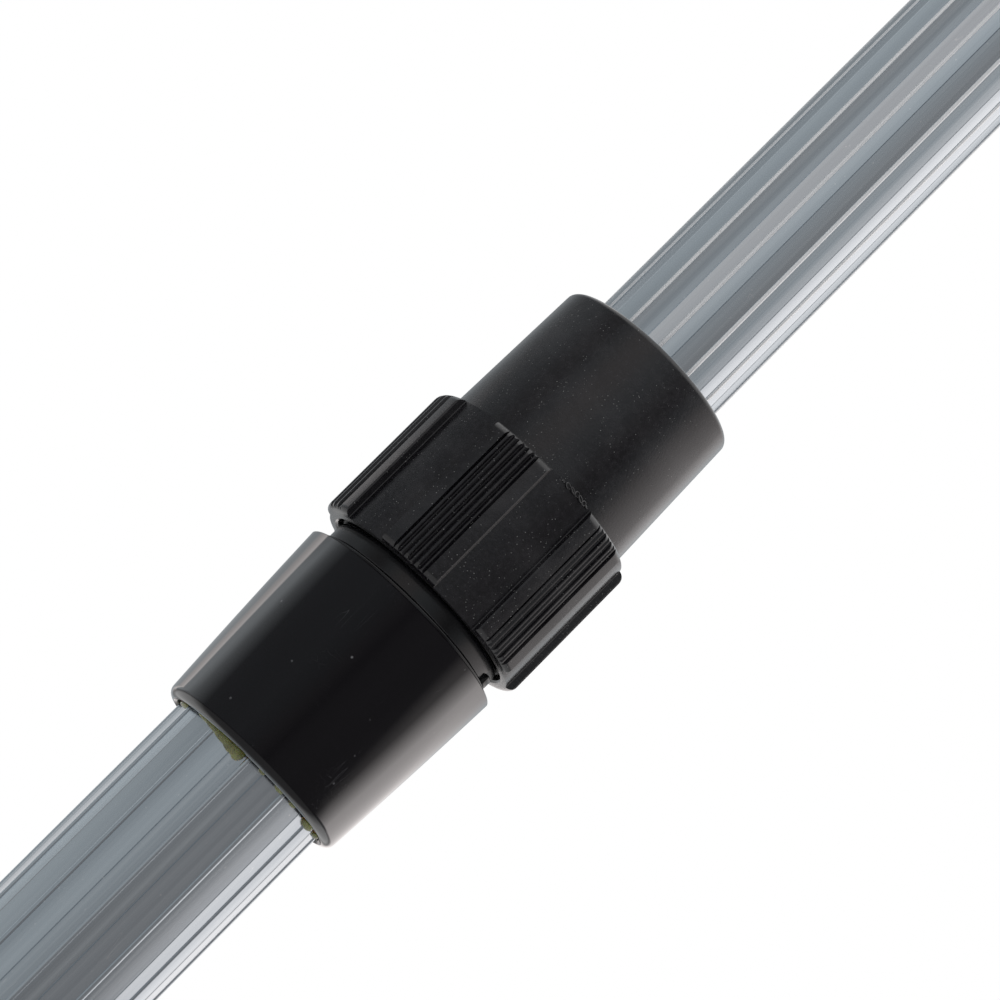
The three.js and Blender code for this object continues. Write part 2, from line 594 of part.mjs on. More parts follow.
function lockNut() {
  const chamfer = NUT_RING_CHAMFER;
  const envelope = turned([
    [0, NUT_FOOT_Z],
    [NUT_PAD_RADIUS - chamfer, NUT_FOOT_Z],
    [NUT_PAD_RADIUS + SUNK, NUT_FOOT_Z + chamfer],
    [NUT_PAD_RADIUS + SUNK, NUT_RING_TOP_Z - chamfer],
    [NUT_RING_RADIUS - SUNK, NUT_RING_TOP_Z],
    [0, NUT_RING_TOP_Z],
  ]);
  const ring = raised(nutOutline(), NUT_FOOT_Z, NUT_RING_TOP_Z).intersect(envelope);
  const half = SLEEVE_ROUND * (1 - Math.SQRT1_2);
  const sleeve = turned([
    [0, NUT_RING_TOP_Z - OVERSHOOT],
    [SLEEVE_FOOT_RADIUS, NUT_RING_TOP_Z - OVERSHOOT],
    [SLEEVE_TOP_RADIUS, NUT_TOP_Z - SLEEVE_ROUND],
    [SLEEVE_TOP_RADIUS - half, NUT_TOP_Z - half],
    [SLEEVE_TOP_RADIUS - SLEEVE_ROUND, NUT_TOP_Z],
    [0, NUT_TOP_Z],
  ]);
  const grooveHalf = CLAMP_BEAD_LENGTH / 2 + RUNNING_GAP;
  const slope = NUT_GROOVE_RADIUS - NUT_BORE_RADIUS;
  const bore = turned([
    [0, NUT_FOOT_Z - OVERSHOOT],
    [NUT_COUNTERBORE_RADIUS, NUT_FOOT_Z - OVERSHOOT],
    [NUT_COUNTERBORE_RADIUS, NUT_FOOT_Z + NUT_COUNTERBORE_DEPTH],
    [NUT_BORE_RADIUS, NUT_FOOT_Z + NUT_COUNTERBORE_DEPTH],
    [NUT_BORE_RADIUS, CLAMP_BEAD_Z - grooveHalf - slope],
    [NUT_GROOVE_RADIUS, CLAMP_BEAD_Z - grooveHalf],
    [NUT_GROOVE_RADIUS, CLAMP_BEAD_Z + grooveHalf],
    [NUT_BORE_RADIUS, CLAMP_BEAD_Z + grooveHalf + slope],
    [NUT_BORE_RADIUS, NUT_CONE_FOOT_Z],
    [NUT_MOUTH_RADIUS, NUT_CONE_TOP_Z],
    [NUT_MOUTH_RADIUS, NUT_TOP_Z + OVERSHOOT],
    [0, NUT_TOP_Z + OVERSHOOT],
  ]);
  // The nut's thread runs on one turn past the neck's thread at both ends.
  const turns = THREAD_TURNS + 2;
  const start = RIM_Z + THREAD_START - THREAD_LEAD;
  const round = THREAD_ROUND + RUNNING_GAP;
  const thread = threadRidge(THREAD_ROOT_RADIUS, round, THREAD_LEAD, turns, start);
  return cut(joined(ring, sleeve), bore, thread);
}

// Both cones lie beside the cones that they press on: the neck's mouth and the nut's shoulder.
function clampRing() {
  const mouthSlope = (NECK_MOUTH_RADIUS - BODY_BORE_RADIUS) / NECK_MOUTH_DEPTH;
  const aboveMouthFoot = NECK_MOUTH_DEPTH - CLAMP_SEATED_DEPTH;
  const footRadius = BODY_BORE_RADIUS + mouthSlope * aboveMouthFoot - FIXED_GAP;
  const coneSlope = (NUT_BORE_RADIUS - NUT_MOUTH_RADIUS) / NUT_CONE_LENGTH;
  const coneFoot = NUT_CONE_FOOT_Z - FIXED_GAP;
  const topRadius = CLAMP_RADIUS - coneSlope * (CLAMP_TOP_Z - coneFoot);
  const half = CLAMP_BEAD_LENGTH / 2;
  const ring = turned([
    [CLAMP_BORE_RADIUS, CLAMP_FOOT_Z],
    [footRadius, CLAMP_FOOT_Z],
    [NECK_MOUTH_RADIUS - RUNNING_GAP, NECK_TOP_Z],
    [CLAMP_RADIUS, NECK_TOP_Z + RUNNING_GAP],
    [CLAMP_RADIUS, CLAMP_BEAD_Z - half - CLAMP_BEAD_HEIGHT],
    [CLAMP_BEAD_RADIUS, CLAMP_BEAD_Z - half],
    [CLAMP_BEAD_RADIUS, CLAMP_BEAD_Z + half],
    [CLAMP_RADIUS, CLAMP_BEAD_Z + half + CLAMP_BEAD_HEIGHT],
    [CLAMP_RADIUS, coneFoot],
    [topRadius, CLAMP_TOP_Z],
    [CLAMP_BORE_RADIUS, CLAMP_TOP_Z],
  ]);
  // The first slot splits the ring from end to end, and the others stop half way up.
  const inside = CLAMP_BORE_RADIUS - OVERSHOOT;
  const outside = CLAMP_BEAD_RADIUS + OVERSHOOT;
  const slots = [];
  for (let i = 0; i < CLAMP_SLOT_COUNT; i += 1) {
    const length = i === 0 ? 4 * CLAMP_LENGTH : CLAMP_LENGTH;
    const angle = 180 + (i * 360) / CLAMP_SLOT_COUNT;
    slots.push(crossBox(inside, outside, CLAMP_SLOT_WIDTH, length, angle, CLAMP_FOOT_Z));
  }
  return cut(ring, ...slots);
}

// ---- Foot of the inner tube ----

function rivetHole(angle) {
  const end = BUSH_RIVET_FACE - RIVET_LENGTH - FIXED_GAP;
  return crossPin(RIVET_RADIUS + FIXED_GAP, end, BUSH_RADIUS + OVERSHOOT, angle, BUSH_RIVET_Z);
}

function bushRivet(angle) {
  const face = BUSH_RIVET_FACE;
  return crossPin(RIVET_RADIUS, face - RIVET_LENGTH, face, angle, BUSH_RIVET_Z);
}

function guideBush() {
  const top = BUSH_FOOT_Z + BUSH_LENGTH;
  const bush = raised(flutedOutline(BUSH_RADIUS, OUTER_TUBE_TURN), BUSH_FOOT_Z, top);
  const inside = circle(INNER_TUBE_RADIUS + BUSH_GAP);
  const bore = raised(inside, BUSH_FOOT_Z - OVERSHOOT, top + OVERSHOOT);
  return cut(bush, bore, ...SIDE_ANGLES.map((angle) => rivetHole(angle)));
}

function footPlug() {
  const foot = INNER_TUBE_FOOT - FIXED_GAP;
  const plug = turned([
    [0, foot - PLUG_FLANGE],
    [INNER_TUBE_RADIUS, foot - PLUG_FLANGE],
    [INNER_TUBE_RADIUS, foot],
    [PLUG_RADIUS, foot],
    [PLUG_RADIUS, foot + PLUG_LENGTH],
    [PLUG_RADIUS - MOULDED_WALL, foot + PLUG_LENGTH],
    [PLUG_RADIUS - MOULDED_WALL, foot],
    [0, foot],
  ]);
  return cut(plug, ...SIDE_ANGLES.map((angle) => rivetHole(angle)));
}

// ---- Tip ----

function hexOutline(acrossFlats) {
  return Array.from({ length: 6 }, (_, i) => polar(acrossFlats / Math.sqrt(3), i * 60));
}

function tipSocket() {
  const top = TIP_SOCKET_TOP_Z;
  const skirtFoot = INNER_TUBE_TOP - TIP_SKIRT_LENGTH;
  const socket = turned([
    [0, TIP_SOCKET_FOOT_Z],
    [PLUG_RADIUS, TIP_SOCKET_FOOT_Z],
    [PLUG_RADIUS, TIP_SHOULDER_Z],
    [OVER_INNER_TUBE, TIP_SHOULDER_Z],
    [OVER_INNER_TUBE, skirtFoot],
    [TIP_SOCKET_RADIUS - CAP_CHAMFER, skirtFoot],
    [TIP_SOCKET_RADIUS, skirtFoot + CAP_CHAMFER],
    [TIP_SOCKET_RADIUS, top - EDGE_CHAMFER],
    [TIP_SOCKET_RADIUS - EDGE_CHAMFER, top],
    [CONE_FOOT_RADIUS + FIXED_GAP, top],
    [CONE_FOOT_RADIUS + FIXED_GAP, TIP_REGISTER_Z],
    [0, TIP_REGISTER_Z],
  ]);
  const under = TIP_SOCKET_FOOT_Z - OVERSHOOT;
  const boltHole = raised(circle(BOLT_HOLE_RADIUS, PIN_SIDES), under, top + OVERSHOOT);
  const pocketOutline = hexOutline(TIP_NUT_ACROSS_FLATS + 2 * FIXED_GAP);
  const pocket = raised(pocketOutline, under, TIP_SOCKET_FOOT_Z + TIP_NUT_POCKET_DEPTH);
  const holes = SIDE_ANGLES.map((angle) => screwHole(angle, TIP_SCREW_Z, TIP_SOCKET_RADIUS));
  return cut(socket, boltHole, pocket, ...holes);
}

function tipCone() {
  const cone = turned([
    [BOLT_HOLE_RADIUS, CONE_FOOT_Z],
    [CONE_FOOT_RADIUS, CONE_FOOT_Z],
    [CONE_TOP_RADIUS, CONE_TOP_Z],
    [TIP_THREAD_ROOT, CONE_TOP_Z + TIP_THREAD_STEP / 2],
    [TIP_THREAD_ROOT, TIP_TOP_Z - EDGE_CHAMFER],
    [TIP_THREAD_ROOT - EDGE_CHAMFER, TIP_TOP_Z],
    [BOLT_HEAD_RADIUS + FIXED_GAP, TIP_TOP_Z],
    [BOLT_HEAD_RADIUS + FIXED_GAP, BOLT_SEAT_Z],
    [BOLT_HOLE_RADIUS, BOLT_SEAT_Z],
  ]);
  const run = TIP_THREAD_LEAD * TIP_THREAD_TURNS;
  const start = CONE_TOP_Z + (TIP_THREAD_LENGTH - run) / 2;
  const args = [TIP_THREAD_ROOT, TIP_THREAD_ROUND, TIP_THREAD_LEAD, TIP_THREAD_TURNS, start];
  return joined(cone, threadRidge(...args));
}

function tipBolt() {
  const seat = BOLT_SEAT_Z + FIXED_GAP;
  const bolt = turned(
    [
      [0, TIP_SOCKET_FOOT_Z],
      [BOLT_RADIUS, TIP_SOCKET_FOOT_Z],
      [BOLT_RADIUS, seat],
      [BOLT_HEAD_RADIUS, seat],
      [BOLT_HEAD_RADIUS, seat + BOLT_HEAD_HEIGHT],
      [0, seat + BOLT_HEAD_HEIGHT],
    ],
    PIN_SIDES,
  );
  const top = seat + BOLT_HEAD_HEIGHT;
  const key = raised(hexOutline(BOLT_KEY_ACROSS_FLATS), top - BOLT_KEY_DEPTH, top + OVERSHOOT);
  return cut(bolt, key);
}

function tipNut() {
  const hole = circle(BOLT_HOLE_RADIUS, PIN_SIDES);
  return raised(hexOutline(TIP_NUT_ACROSS_FLATS), TIP_NUT_Z, TIP_NUT_Z + TIP_NUT_HEIGHT, hole);
}

// ---- The pole ----

const pole = new THREE.Group();

function section(name, pieces) {
  const group = new THREE.Group();
  group.name = name;
  pieces.forEach(([node, solid, material]) => {
    const mesh = new THREE.Mesh(geometryOf(solid), material());
    mesh.name = node;
    group.add(mesh);
  });
  pole.add(group);
}

section("outer section", [
  ["outer_tube", outerTube(), tubeAluminium],
  ["end_cap", endCap(), mouldedBlack],
  ["end_cap_screw_left", crossScrew(-90, CAP_SCREW_Z, CAP_RADIUS), zincSteel],
  ["end_cap_screw_right", crossScrew(90, CAP_SCREW_Z, CAP_RADIUS), zincSteel],
  ["handle_grip", handleGrip(), softBlack],
  ["collar", collar(), glossBlack],
  ["collar_glue", collarGlue(), driedGlue],
  ["lock_body", lockBody(), mouldedBlack],
  ["neck_o_ring", neckORing(), softBlack],
]);

section("clamp", [["clamp_ring", clampRing(), mouldedBlack]]);

section("nut", [["lock_nut", lockNut(), satinBlack]]);

section("inner section", [
  ["inner_tube", innerTube(), tubeAluminium],
  ["guide_bush", guideBush(), mouldedBlack],
  ["foot_plug", footPlug(), mouldedBlack],
  ["bush_rivet_left", bushRivet(-90), tubeAluminium],
  ["bush_rivet_right", bushRivet(90), tubeAluminium],
  ["tip_socket", tipSocket(), mouldedBlack],
  ["tip_socket_screw_left", crossScrew(-90, TIP_SCREW_Z, TIP_SOCKET_RADIUS), zincSteel],
  ["tip_socket_screw_right", crossScrew(90, TIP_SCREW_Z, TIP_SOCKET_RADIUS), zincSteel],
  ["tip_cone", tipCone(), mouldedBlack],
  ["tip_bolt", tipBolt(), zincSteel],
  ["tip_nut", tipNut(), zincSteel],
]);

export default pole;
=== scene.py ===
import json
import math

import bpy
from mathutils import Matrix, Vector


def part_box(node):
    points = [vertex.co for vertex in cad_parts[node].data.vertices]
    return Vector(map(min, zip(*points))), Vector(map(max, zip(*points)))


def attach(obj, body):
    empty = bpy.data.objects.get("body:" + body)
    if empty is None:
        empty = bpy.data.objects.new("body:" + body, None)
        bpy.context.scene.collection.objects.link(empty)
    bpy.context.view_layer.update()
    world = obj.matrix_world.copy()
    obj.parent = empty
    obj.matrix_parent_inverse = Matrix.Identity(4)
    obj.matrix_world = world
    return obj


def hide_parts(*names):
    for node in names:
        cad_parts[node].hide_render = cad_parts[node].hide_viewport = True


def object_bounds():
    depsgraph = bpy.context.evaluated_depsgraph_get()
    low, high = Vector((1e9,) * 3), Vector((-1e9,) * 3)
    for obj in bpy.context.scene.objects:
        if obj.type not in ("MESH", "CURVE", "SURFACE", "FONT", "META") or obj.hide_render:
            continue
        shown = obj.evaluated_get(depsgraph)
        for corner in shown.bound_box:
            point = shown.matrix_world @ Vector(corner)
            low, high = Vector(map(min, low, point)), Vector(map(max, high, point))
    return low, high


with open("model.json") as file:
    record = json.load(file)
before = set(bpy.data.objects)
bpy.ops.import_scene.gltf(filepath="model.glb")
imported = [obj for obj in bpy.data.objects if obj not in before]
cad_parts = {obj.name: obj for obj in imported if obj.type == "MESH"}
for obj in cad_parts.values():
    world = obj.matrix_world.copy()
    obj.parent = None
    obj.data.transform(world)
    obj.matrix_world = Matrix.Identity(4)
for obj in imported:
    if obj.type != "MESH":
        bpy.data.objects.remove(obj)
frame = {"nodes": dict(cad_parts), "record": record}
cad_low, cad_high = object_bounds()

# A two-section telescopic window cleaning pole. Every piece here is drawn in the frame of the imported
# part, stands for one CAD node, and rides on that node's body. Sizes are in millimetres and are made
# metres only where a point is placed.

MM = 0.001
FULL_TURN = 2 * math.pi
TURNED_STEPS = 120
PIN_STEPS = 48
MERGE_DISTANCE = 0.001
OVERSHOOT = 1.0
GAP = 0.3
POCKET_DEPTH = 0.9

# ---- Sizes read from the frame ----


def foot(node):
    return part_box(node)[0].z / MM


def top(node):
    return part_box(node)[1].z / MM


def span(node):
    """A node's foot and top."""
    return foot(node), top(node)


def reach(node):
    """The largest distance of a node's corners from the pole's axis."""
    return max(v.co.xy.length for v in frame["nodes"][node].data.vertices) / MM


def bore(node):
    """The smallest distance of a node's corners from the pole's axis."""
    return min(v.co.xy.length for v in frame["nodes"][node].data.vertices) / MM


# ---- Drawing and shaping ----


def select_only(piece):
    bpy.ops.object.select_all(action="DESELECT")
    piece.select_set(True)
    bpy.context.view_layer.objects.active = piece


def drawn(points):
    """A line of corners, each extruded from the last. It is left in edit mode, all selected."""
    bpy.ops.object.select_all(action="DESELECT")
    bpy.ops.mesh.primitive_plane_add(size=1)
    piece = bpy.context.object
    places = [Vector(point) * MM for point in points]
    bpy.ops.object.mode_set(mode="EDIT")
    bpy.ops.mesh.merge(type="CENTER")
    bpy.ops.transform.translate(value=places[0])
    for here, there in zip(places, places[1:]):
        bpy.ops.mesh.extrude_vertices_move(TRANSFORM_OT_translate={"value": there - here})
    bpy.ops.mesh.select_all(action="SELECT")
    return piece


def tidied(piece):
    """Merges the corners that met, turns the faces outwards and leaves edit mode."""
    bpy.ops.mesh.select_all(action="SELECT")
    bpy.ops.mesh.remove_doubles(threshold=MERGE_DISTANCE * MM)
    bpy.ops.mesh.normals_make_consistent(inside=False)
    bpy.ops.object.mode_set(mode="OBJECT")
    return piece


def turned(profile, steps=TURNED_STEPS):
    """A solid of revolution about the pole's axis, from its radii and heights in order."""
    closed = [*profile, profile[0]] if profile[0][0] > 0 else profile
    piece = drawn([(radius, 0, height) for radius, height in closed])
    bpy.ops.mesh.spin(steps=steps, angle=FULL_TURN, center=(0, 0, 0), axis=(0, 0, 1))
    return tidied(piece)


def rod(radius, low, high):
    """A solid round rod on the pole's axis."""
    return turned([(0, low), (radius, low), (radius, high), (0, high)])


def raised(outline, low, high):
    """A closed outline, filled and pulled up from one height to the other."""
    piece = drawn([(x, y, low) for x, y in outline])
    bpy.ops.mesh.edge_face_add()
    bpy.ops.mesh.extrude_region_move(TRANSFORM_OT_translate={"value": (0, 0, (high - low) * MM)})
    return tidied(piece)


def sleeve_of(outline, low, high):
    """A closed outline pulled up as an open sleeve, with no ends."""
    piece = drawn([(x, y, low) for x, y in [*outline, outline[0]]])
    bpy.ops.mesh.remove_doubles(threshold=MERGE_DISTANCE * MM)
    bpy.ops.mesh.extrude_region_move(TRANSFORM_OT_translate={"value": (0, 0, (high - low) * MM)})
    return tidied(piece)


def finish_with(piece, kind, **settings):
    """Adds one modifier to a piece and applies it."""
    select_only(piece)
    modifier = piece.modifiers.new(kind.lower(), kind)
    for name, value in settings.items():
        setattr(modifier, name, value)
    bpy.ops.object.modifier_apply(modifier=modifier.name)
    return piece


def rounded(piece, width, segments=3, angle=35):
    """Rounds every edge that is sharper than the angle."""
    return finish_with(
        piece,
        "BEVEL",
        width=width * MM,
        segments=segments,
        limit_method="ANGLE",
        angle_limit=math.radians(angle),
        use_clamp_overlap=True,
    )


def combined(piece, operation, *tools):
    for tool in tools:
        finish_with(piece, "BOOLEAN", object=tool, operation=operation, solver="EXACT")
        bpy.data.objects.remove(tool)
    return piece


def cut(piece, *tools):
    return combined(piece, "DIFFERENCE", *tools)


def joined(piece, *tools):
    return combined(piece, "UNION", *tools)


def common(piece, *tools):
    return combined(piece, "INTERSECT", *tools)


def smooth(piece, angle=30):
    select_only(piece)
    bpy.ops.object.shade_smooth_by_angle(angle=math.radians(angle))
    return piece


def polar(radius, angle):
    """A point at this radius and angle, where 0 is the front and positive angles go towards +X."""
    turn = math.radians(angle)
    return radius * math.sin(turn), -radius * math.cos(turn)


def arc(centre, radius, start, end, steps=6):
    """A round stretch of a profile. Angle 0 points away from the pole's axis, and 90 points up."""
    angles = [math.radians(start + (end - start) * i / steps) for i in range(steps + 1)]
    return [(centre[0] + radius * math.cos(a), centre[1] + radius * math.sin(a)) for a in angles]


def foot_round(radius, height, size, steps=6):
    """The round outer corner at the foot of a profile."""
    return arc((radius - size, height + size), size, -90, 0, steps)


def top_round(radius, height, size, steps=6):
    """The round outer corner at the top of a profile."""
    return arc((radius - size, height - size), size, 0, 90, steps)


def added(add, **settings):
    """A new primitive, with its place, turn and size applied."""
    bpy.ops.object.select_all(action="DESELECT")
    add(**settings)
    bpy.ops.object.transform_apply(location=True, rotation=True, scale=True)
    return bpy.context.object


def pin(radius, start, end, angle, height, steps=PIN_STEPS):
    """A round pin square to the pole, between two distances from its axis."""
    x, y = polar((start + end) / 2, angle)
    return added(
        bpy.ops.mesh.primitive_cylinder_add,
        vertices=steps,
        radius=radius * MM,
        depth=(end - start) * MM,
        location=Vector((x, y, height)) * MM,
        rotation=(math.radians(90), 0, math.radians(angle)),
    )


def bar(start, end, width, height, angle, middle):
    """A straight-sided bar square to the pole, between two distances from its axis."""
    x, y = polar((start + end) / 2, angle)
    return added(
        bpy.ops.mesh.primitive_cube_add,
        size=1,
        location=Vector((x, y, middle)) * MM,
        rotation=(0, 0, math.radians(angle)),
        scale=Vector((width, end - start, height)) * MM,
    )


def thread_ridge(root, height, lead, turns, start, steps=60):
    """A rounded helical ridge, sunk into a cylinder of the root radius."""
    section = arc((root, start), height, -90, 270, 12)[:-1]
    piece = drawn([(radius, 0, z) for radius, z in [*section, section[0]]])
    tidied(piece)
    finish_with(
        piece,
        "SCREW",
        angle=FULL_TURN * turns,
        screw_offset=lead * turns * MM,
        steps=round(steps * turns),
        use_merge_vertices=False,
    )
    bpy.ops.object.mode_set(mode="EDIT")
    bpy.ops.mesh.select_all(action="SELECT")
    bpy.ops.mesh.remove_doubles(threshold=MERGE_DISTANCE * MM)
    bpy.ops.mesh.fill_holes(sides=0)
    return tidied(piece)


def hexagon(across_flats):
    return [polar(across_flats / math.sqrt(3), 60 * i) for i in range(6)]


# ---- Finishes ----


SPECK_PATCHES_PER_METRE = 260
SCRATCH_SCALE = 3.0
SCRATCH_HALF_WIDTH = 0.006
# Each layer of scratches: how it is squeezed along X, Y and Z, and how many patches it has a metre.
SCRATCH_LAYERS = [((260, 260, 14), 116), ((30, 420, 300), 93)]
MOTTLE_SPAN = (0.3, 0.7)


def new_group(name, inputs, outputs):
    """An empty node group with named sockets, and its two end nodes."""
    group = bpy.data.node_groups.new(name, "ShaderNodeTree")
    for label, default in inputs:
        socket = group.interface.new_socket(label, in_out="INPUT", socket_type="NodeSocketFloat")
        socket.default_value = default
    for label in outputs:
        group.interface.new_socket(label, in_out="OUTPUT", socket_type="NodeSocketFloat")
    return group, group.nodes.new("NodeGroupInput"), group.nodes.new("NodeGroupOutput")


class Sheet:
    """A node tree with short calls to add a node and to join two sockets."""

    def __init__(self, tree):
        self.tree = tree

    def node(self, kind, **settings):
        made = self.tree.nodes.new("ShaderNode" + kind)
        for name, value in settings.items():
            setattr(made, name, value)
        return made

    def feed(self, value, socket):
        """Joins another node's socket to this one, or sets a number or a colour on it."""
        if isinstance(value, bpy.types.NodeSocket):
            self.tree.links.new(value, socket)
        else:
            socket.default_value = (*value, 1) if isinstance(value, tuple) else value

    def place(self, stretch=(1, 1, 1)):
        """Object coordinates, with each axis scaled."""
        mapping = self.node("Mapping")
        mapping.inputs["Scale"].default_value = stretch
        self.feed(self.node("TexCoord").outputs["Object"], mapping.inputs["Vector"])
        return mapping.outputs["Vector"]

    def noise(self, where, scale, detail=2.0, roughness=0.5):
        made = self.node("TexNoise")
        for label, value in zip(
            ("Vector", "Scale", "Detail", "Roughness"), (where, scale, detail, roughness)
        ):
            self.feed(value, made.inputs[label])
        return made.outputs["Fac"]

    def math(self, operation, *values):
        made = self.node("Math", operation=operation)
        for value, socket in zip(values, made.inputs):
            self.feed(value, socket)
        return made.outputs["Value"]

    def window(self, value, low, high, out_low=0.0, out_high=1.0):
        """A value's stretch from low to high, made a stretch from out_low to out_high."""
        made = self.node("MapRange", clamp=True)
        labels = ("Value", "From Min", "From Max", "To Min", "To Max")
        for label, given in zip(labels, (value, low, high, out_low, out_high)):
            self.feed(given, made.inputs[label])
        return made.outputs["Result"]

    def mix(self, share, first, second):
        """One colour laid over another by a mask. Each is a socket or a plain colour."""
        made = self.node("Mix", data_type="RGBA")
        for label, value in (("Factor", share), ("A", first), ("B", second)):
            self.feed(value, made.inputs[label])
        return made.outputs["Result"]

    def bump(self, height, distance):
        made = self.node("Bump")
        made.inputs["Strength"].default_value = 1.0
        made.inputs["Distance"].default_value = distance * MM
        self.feed(height, made.inputs["Height"])
        return made.outputs["Normal"]


def dust_specks():
    """Sparse light specks, as a mask. Cut is a speck's radius, as a share of the cell it is in."""
    group, given, made = new_group("dust_specks", [("Per metre", 900.0), ("Cut", 0.1)], ["Mask"])
    sheet = Sheet(group)
    cells = sheet.node("TexVoronoi", feature="F1")
    sheet.feed(sheet.place(), cells.inputs["Vector"])
    sheet.feed(given.outputs["Per metre"], cells.inputs["Scale"])
    near = sheet.window(cells.outputs["Distance"], 0.0, given.outputs["Cut"], 1.0, 0.0)
    patches = sheet.window(sheet.noise(sheet.place(), SPECK_PATCHES_PER_METRE, detail=3), 0.44, 0.6)
    sheet.feed(sheet.math("MULTIPLY", near, patches), made.inputs["Mask"])
    return group


def hair_scratches():
    """Short fine scratches that lie across each other, as a mask."""
    group, given, made = new_group("hair_scratches", [("Amount", 0.5)], ["Mask"])
    sheet = Sheet(group)
    total = None
    for stretch, patches_per_metre in SCRATCH_LAYERS:
        lines = sheet.noise(sheet.place(stretch), SCRATCH_SCALE, detail=1)
        off_line = sheet.math("ABSOLUTE", sheet.math("SUBTRACT", lines, 0.5))
        thin = sheet.window(off_line, 0, SCRATCH_HALF_WIDTH, 1, 0)
        where = sheet.window(sheet.noise(sheet.place(), patches_per_metre), 0.6, 0.7)
        part = sheet.math("MULTIPLY", thin, where)
        total = part if total is None else sheet.math("MAXIMUM", total, part)
    sheet.feed(sheet.math("MULTIPLY", total, given.outputs["Amount"]), made.inputs["Mask"])
    return group


def moulded_skin():
    """The skin of a moulding: a fine grain as a height, and a coarser mottle as a mask."""
    group, given, made = new_group(
        "moulded_skin", [("Per metre", 2600.0), ("Mottle per metre", 320.0)], ["Height", "Mottle"]
    )
    sheet = Sheet(group)
    for label, socket in (("Height", "Per metre"), ("Mottle", "Mottle per metre")):
        grain = sheet.noise(sheet.place(), given.outputs[socket], detail=4.0, roughness=0.62)
        sheet.feed(grain, made.inputs[label])
    return group


def draw_lines():
    """Lengthwise marks of an extrusion: fine lines, and broad soft bands."""
    group, given, made = new_group("draw_lines", [("Per metre", 1500.0)], ["Fine", "Broad"])
    sheet = Sheet(group)
    for label, share, along in (("Fine", 1.0, 0.003), ("Broad", 0.22, 0.008)):
        per_metre = sheet.math("MULTIPLY", given.outputs["Per metre"], share)
        mark = sheet.noise(sheet.place((1, 1, along)), per_metre, detail=1.0, roughness=0.6)
        sheet.feed(mark, made.inputs[label])
    return group


EFFECTS = {
    "dust_specks": dust_specks(),
    "hair_scratches": hair_scratches(),
    "moulded_skin": moulded_skin(),
    "draw_lines": draw_lines(),
}


def effect(sheet, name, **values):
    made = sheet.node("Group", node_tree=EFFECTS[name])
    for label, value in values.items():
        made.inputs[label.replace("_", " ")].default_value = value
    return made.outputs


def new_material(name, **settings):
    """A material whose constants are set on its own shader."""
    material = bpy.data.materials.new(name)
    material.use_nodes = True
    sheet = Sheet(material.node_tree)
    shader = material.node_tree.nodes["Principled BSDF"]
    for label, value in settings.items():
        sheet.feed(value, shader.inputs[label.replace("_", " ")])
    return material, sheet, shader.inputs


def edge_lacquer(sheet, start, full, most):
    """The share of the clear coat, which shows where the surface turns away."""
    facing = sheet.node("LayerWeight")
    facing.inputs["Blend"].default_value = 0.5
    return sheet.window(facing.outputs["Facing"], start, full, 0.0, most)


def dress(sheet, shader, tone, mottle, roughness, height, depth):
    """Joins a finish's colour, its roughness from a mottle, and its bump to the shader."""
    sheet.feed(tone, shader["Base Color"])
    sheet.feed(sheet.window(mottle, *MOTTLE_SPAN, *roughness), shader["Roughness"])
    sheet.feed(sheet.bump(height, depth), shader["Normal"])


def extruded_aluminium():
    material, sheet, shader = new_material("fluted_aluminium", Metallic=1.0)
    lines = effect(sheet, "draw_lines")
    specks = effect(sheet, "dust_specks", Per_metre=520.0, Cut=0.1)["Mask"]
    scratches = effect(sheet, "hair_scratches", Amount=0.6)["Mask"]
    both = sheet.math("ADD", sheet.math("MULTIPLY", lines["Fine"], 0.45), lines["Broad"])
    tone = sheet.mix(sheet.window(both, 0.5, 0.95), (0.58, 0.635, 0.68), (0.78, 0.84, 0.88))
    marks = sheet.math("MAXIMUM", specks, scratches)
    tone = sheet.mix(marks, tone, (0.97, 0.98, 0.99))
    dress(sheet, shader, tone, lines["Fine"], (0.17, 0.26), both, 0.006)
    return material


def rubbed_aluminium():
    """The crests of the sliding tube's beads: a rougher finish, with a light tone that paints a
    highlight on them.
    """
    material, sheet, shader = new_material("rubbed_aluminium", Metallic=0.6)
    lines = effect(sheet, "draw_lines")
    # The light tone is a painted highlight on the bead crests.
    tone = sheet.mix(sheet.window(lines["Broad"], 0.35, 0.65), (0.78, 0.8, 0.82), (0.93, 0.94, 0.95))
    dress(sheet, shader, tone, lines["Fine"], (0.34, 0.48), lines["Fine"], 0.004)
    return material


def gloss_black():
    material, sheet, shader = new_material(
        "gloss_black", IOR=1.5, Specular_IOR_Level=0.32, Coat_IOR=2.3, Coat_Roughness=0.02
    )
    skin = effect(sheet, "moulded_skin", Per_metre=700.0, Mottle_per_metre=140.0)
    specks = effect(sheet, "dust_specks", Per_metre=260.0, Cut=0.07)["Mask"]
    scratches = effect(sheet, "hair_scratches", Amount=0.18)["Mask"]
    marks = sheet.math("MAXIMUM", specks, scratches)
    sheet.feed(edge_lacquer(sheet, 0.27, 0.45, 0.95), shader["Coat Weight"])
    tone = sheet.mix(marks, (0.0035, 0.003, 0.0042), (0.2, 0.2, 0.21))
    dress(sheet, shader, tone, skin["Mottle"], (0.03, 0.06), skin["Height"], 0.003)
    return material


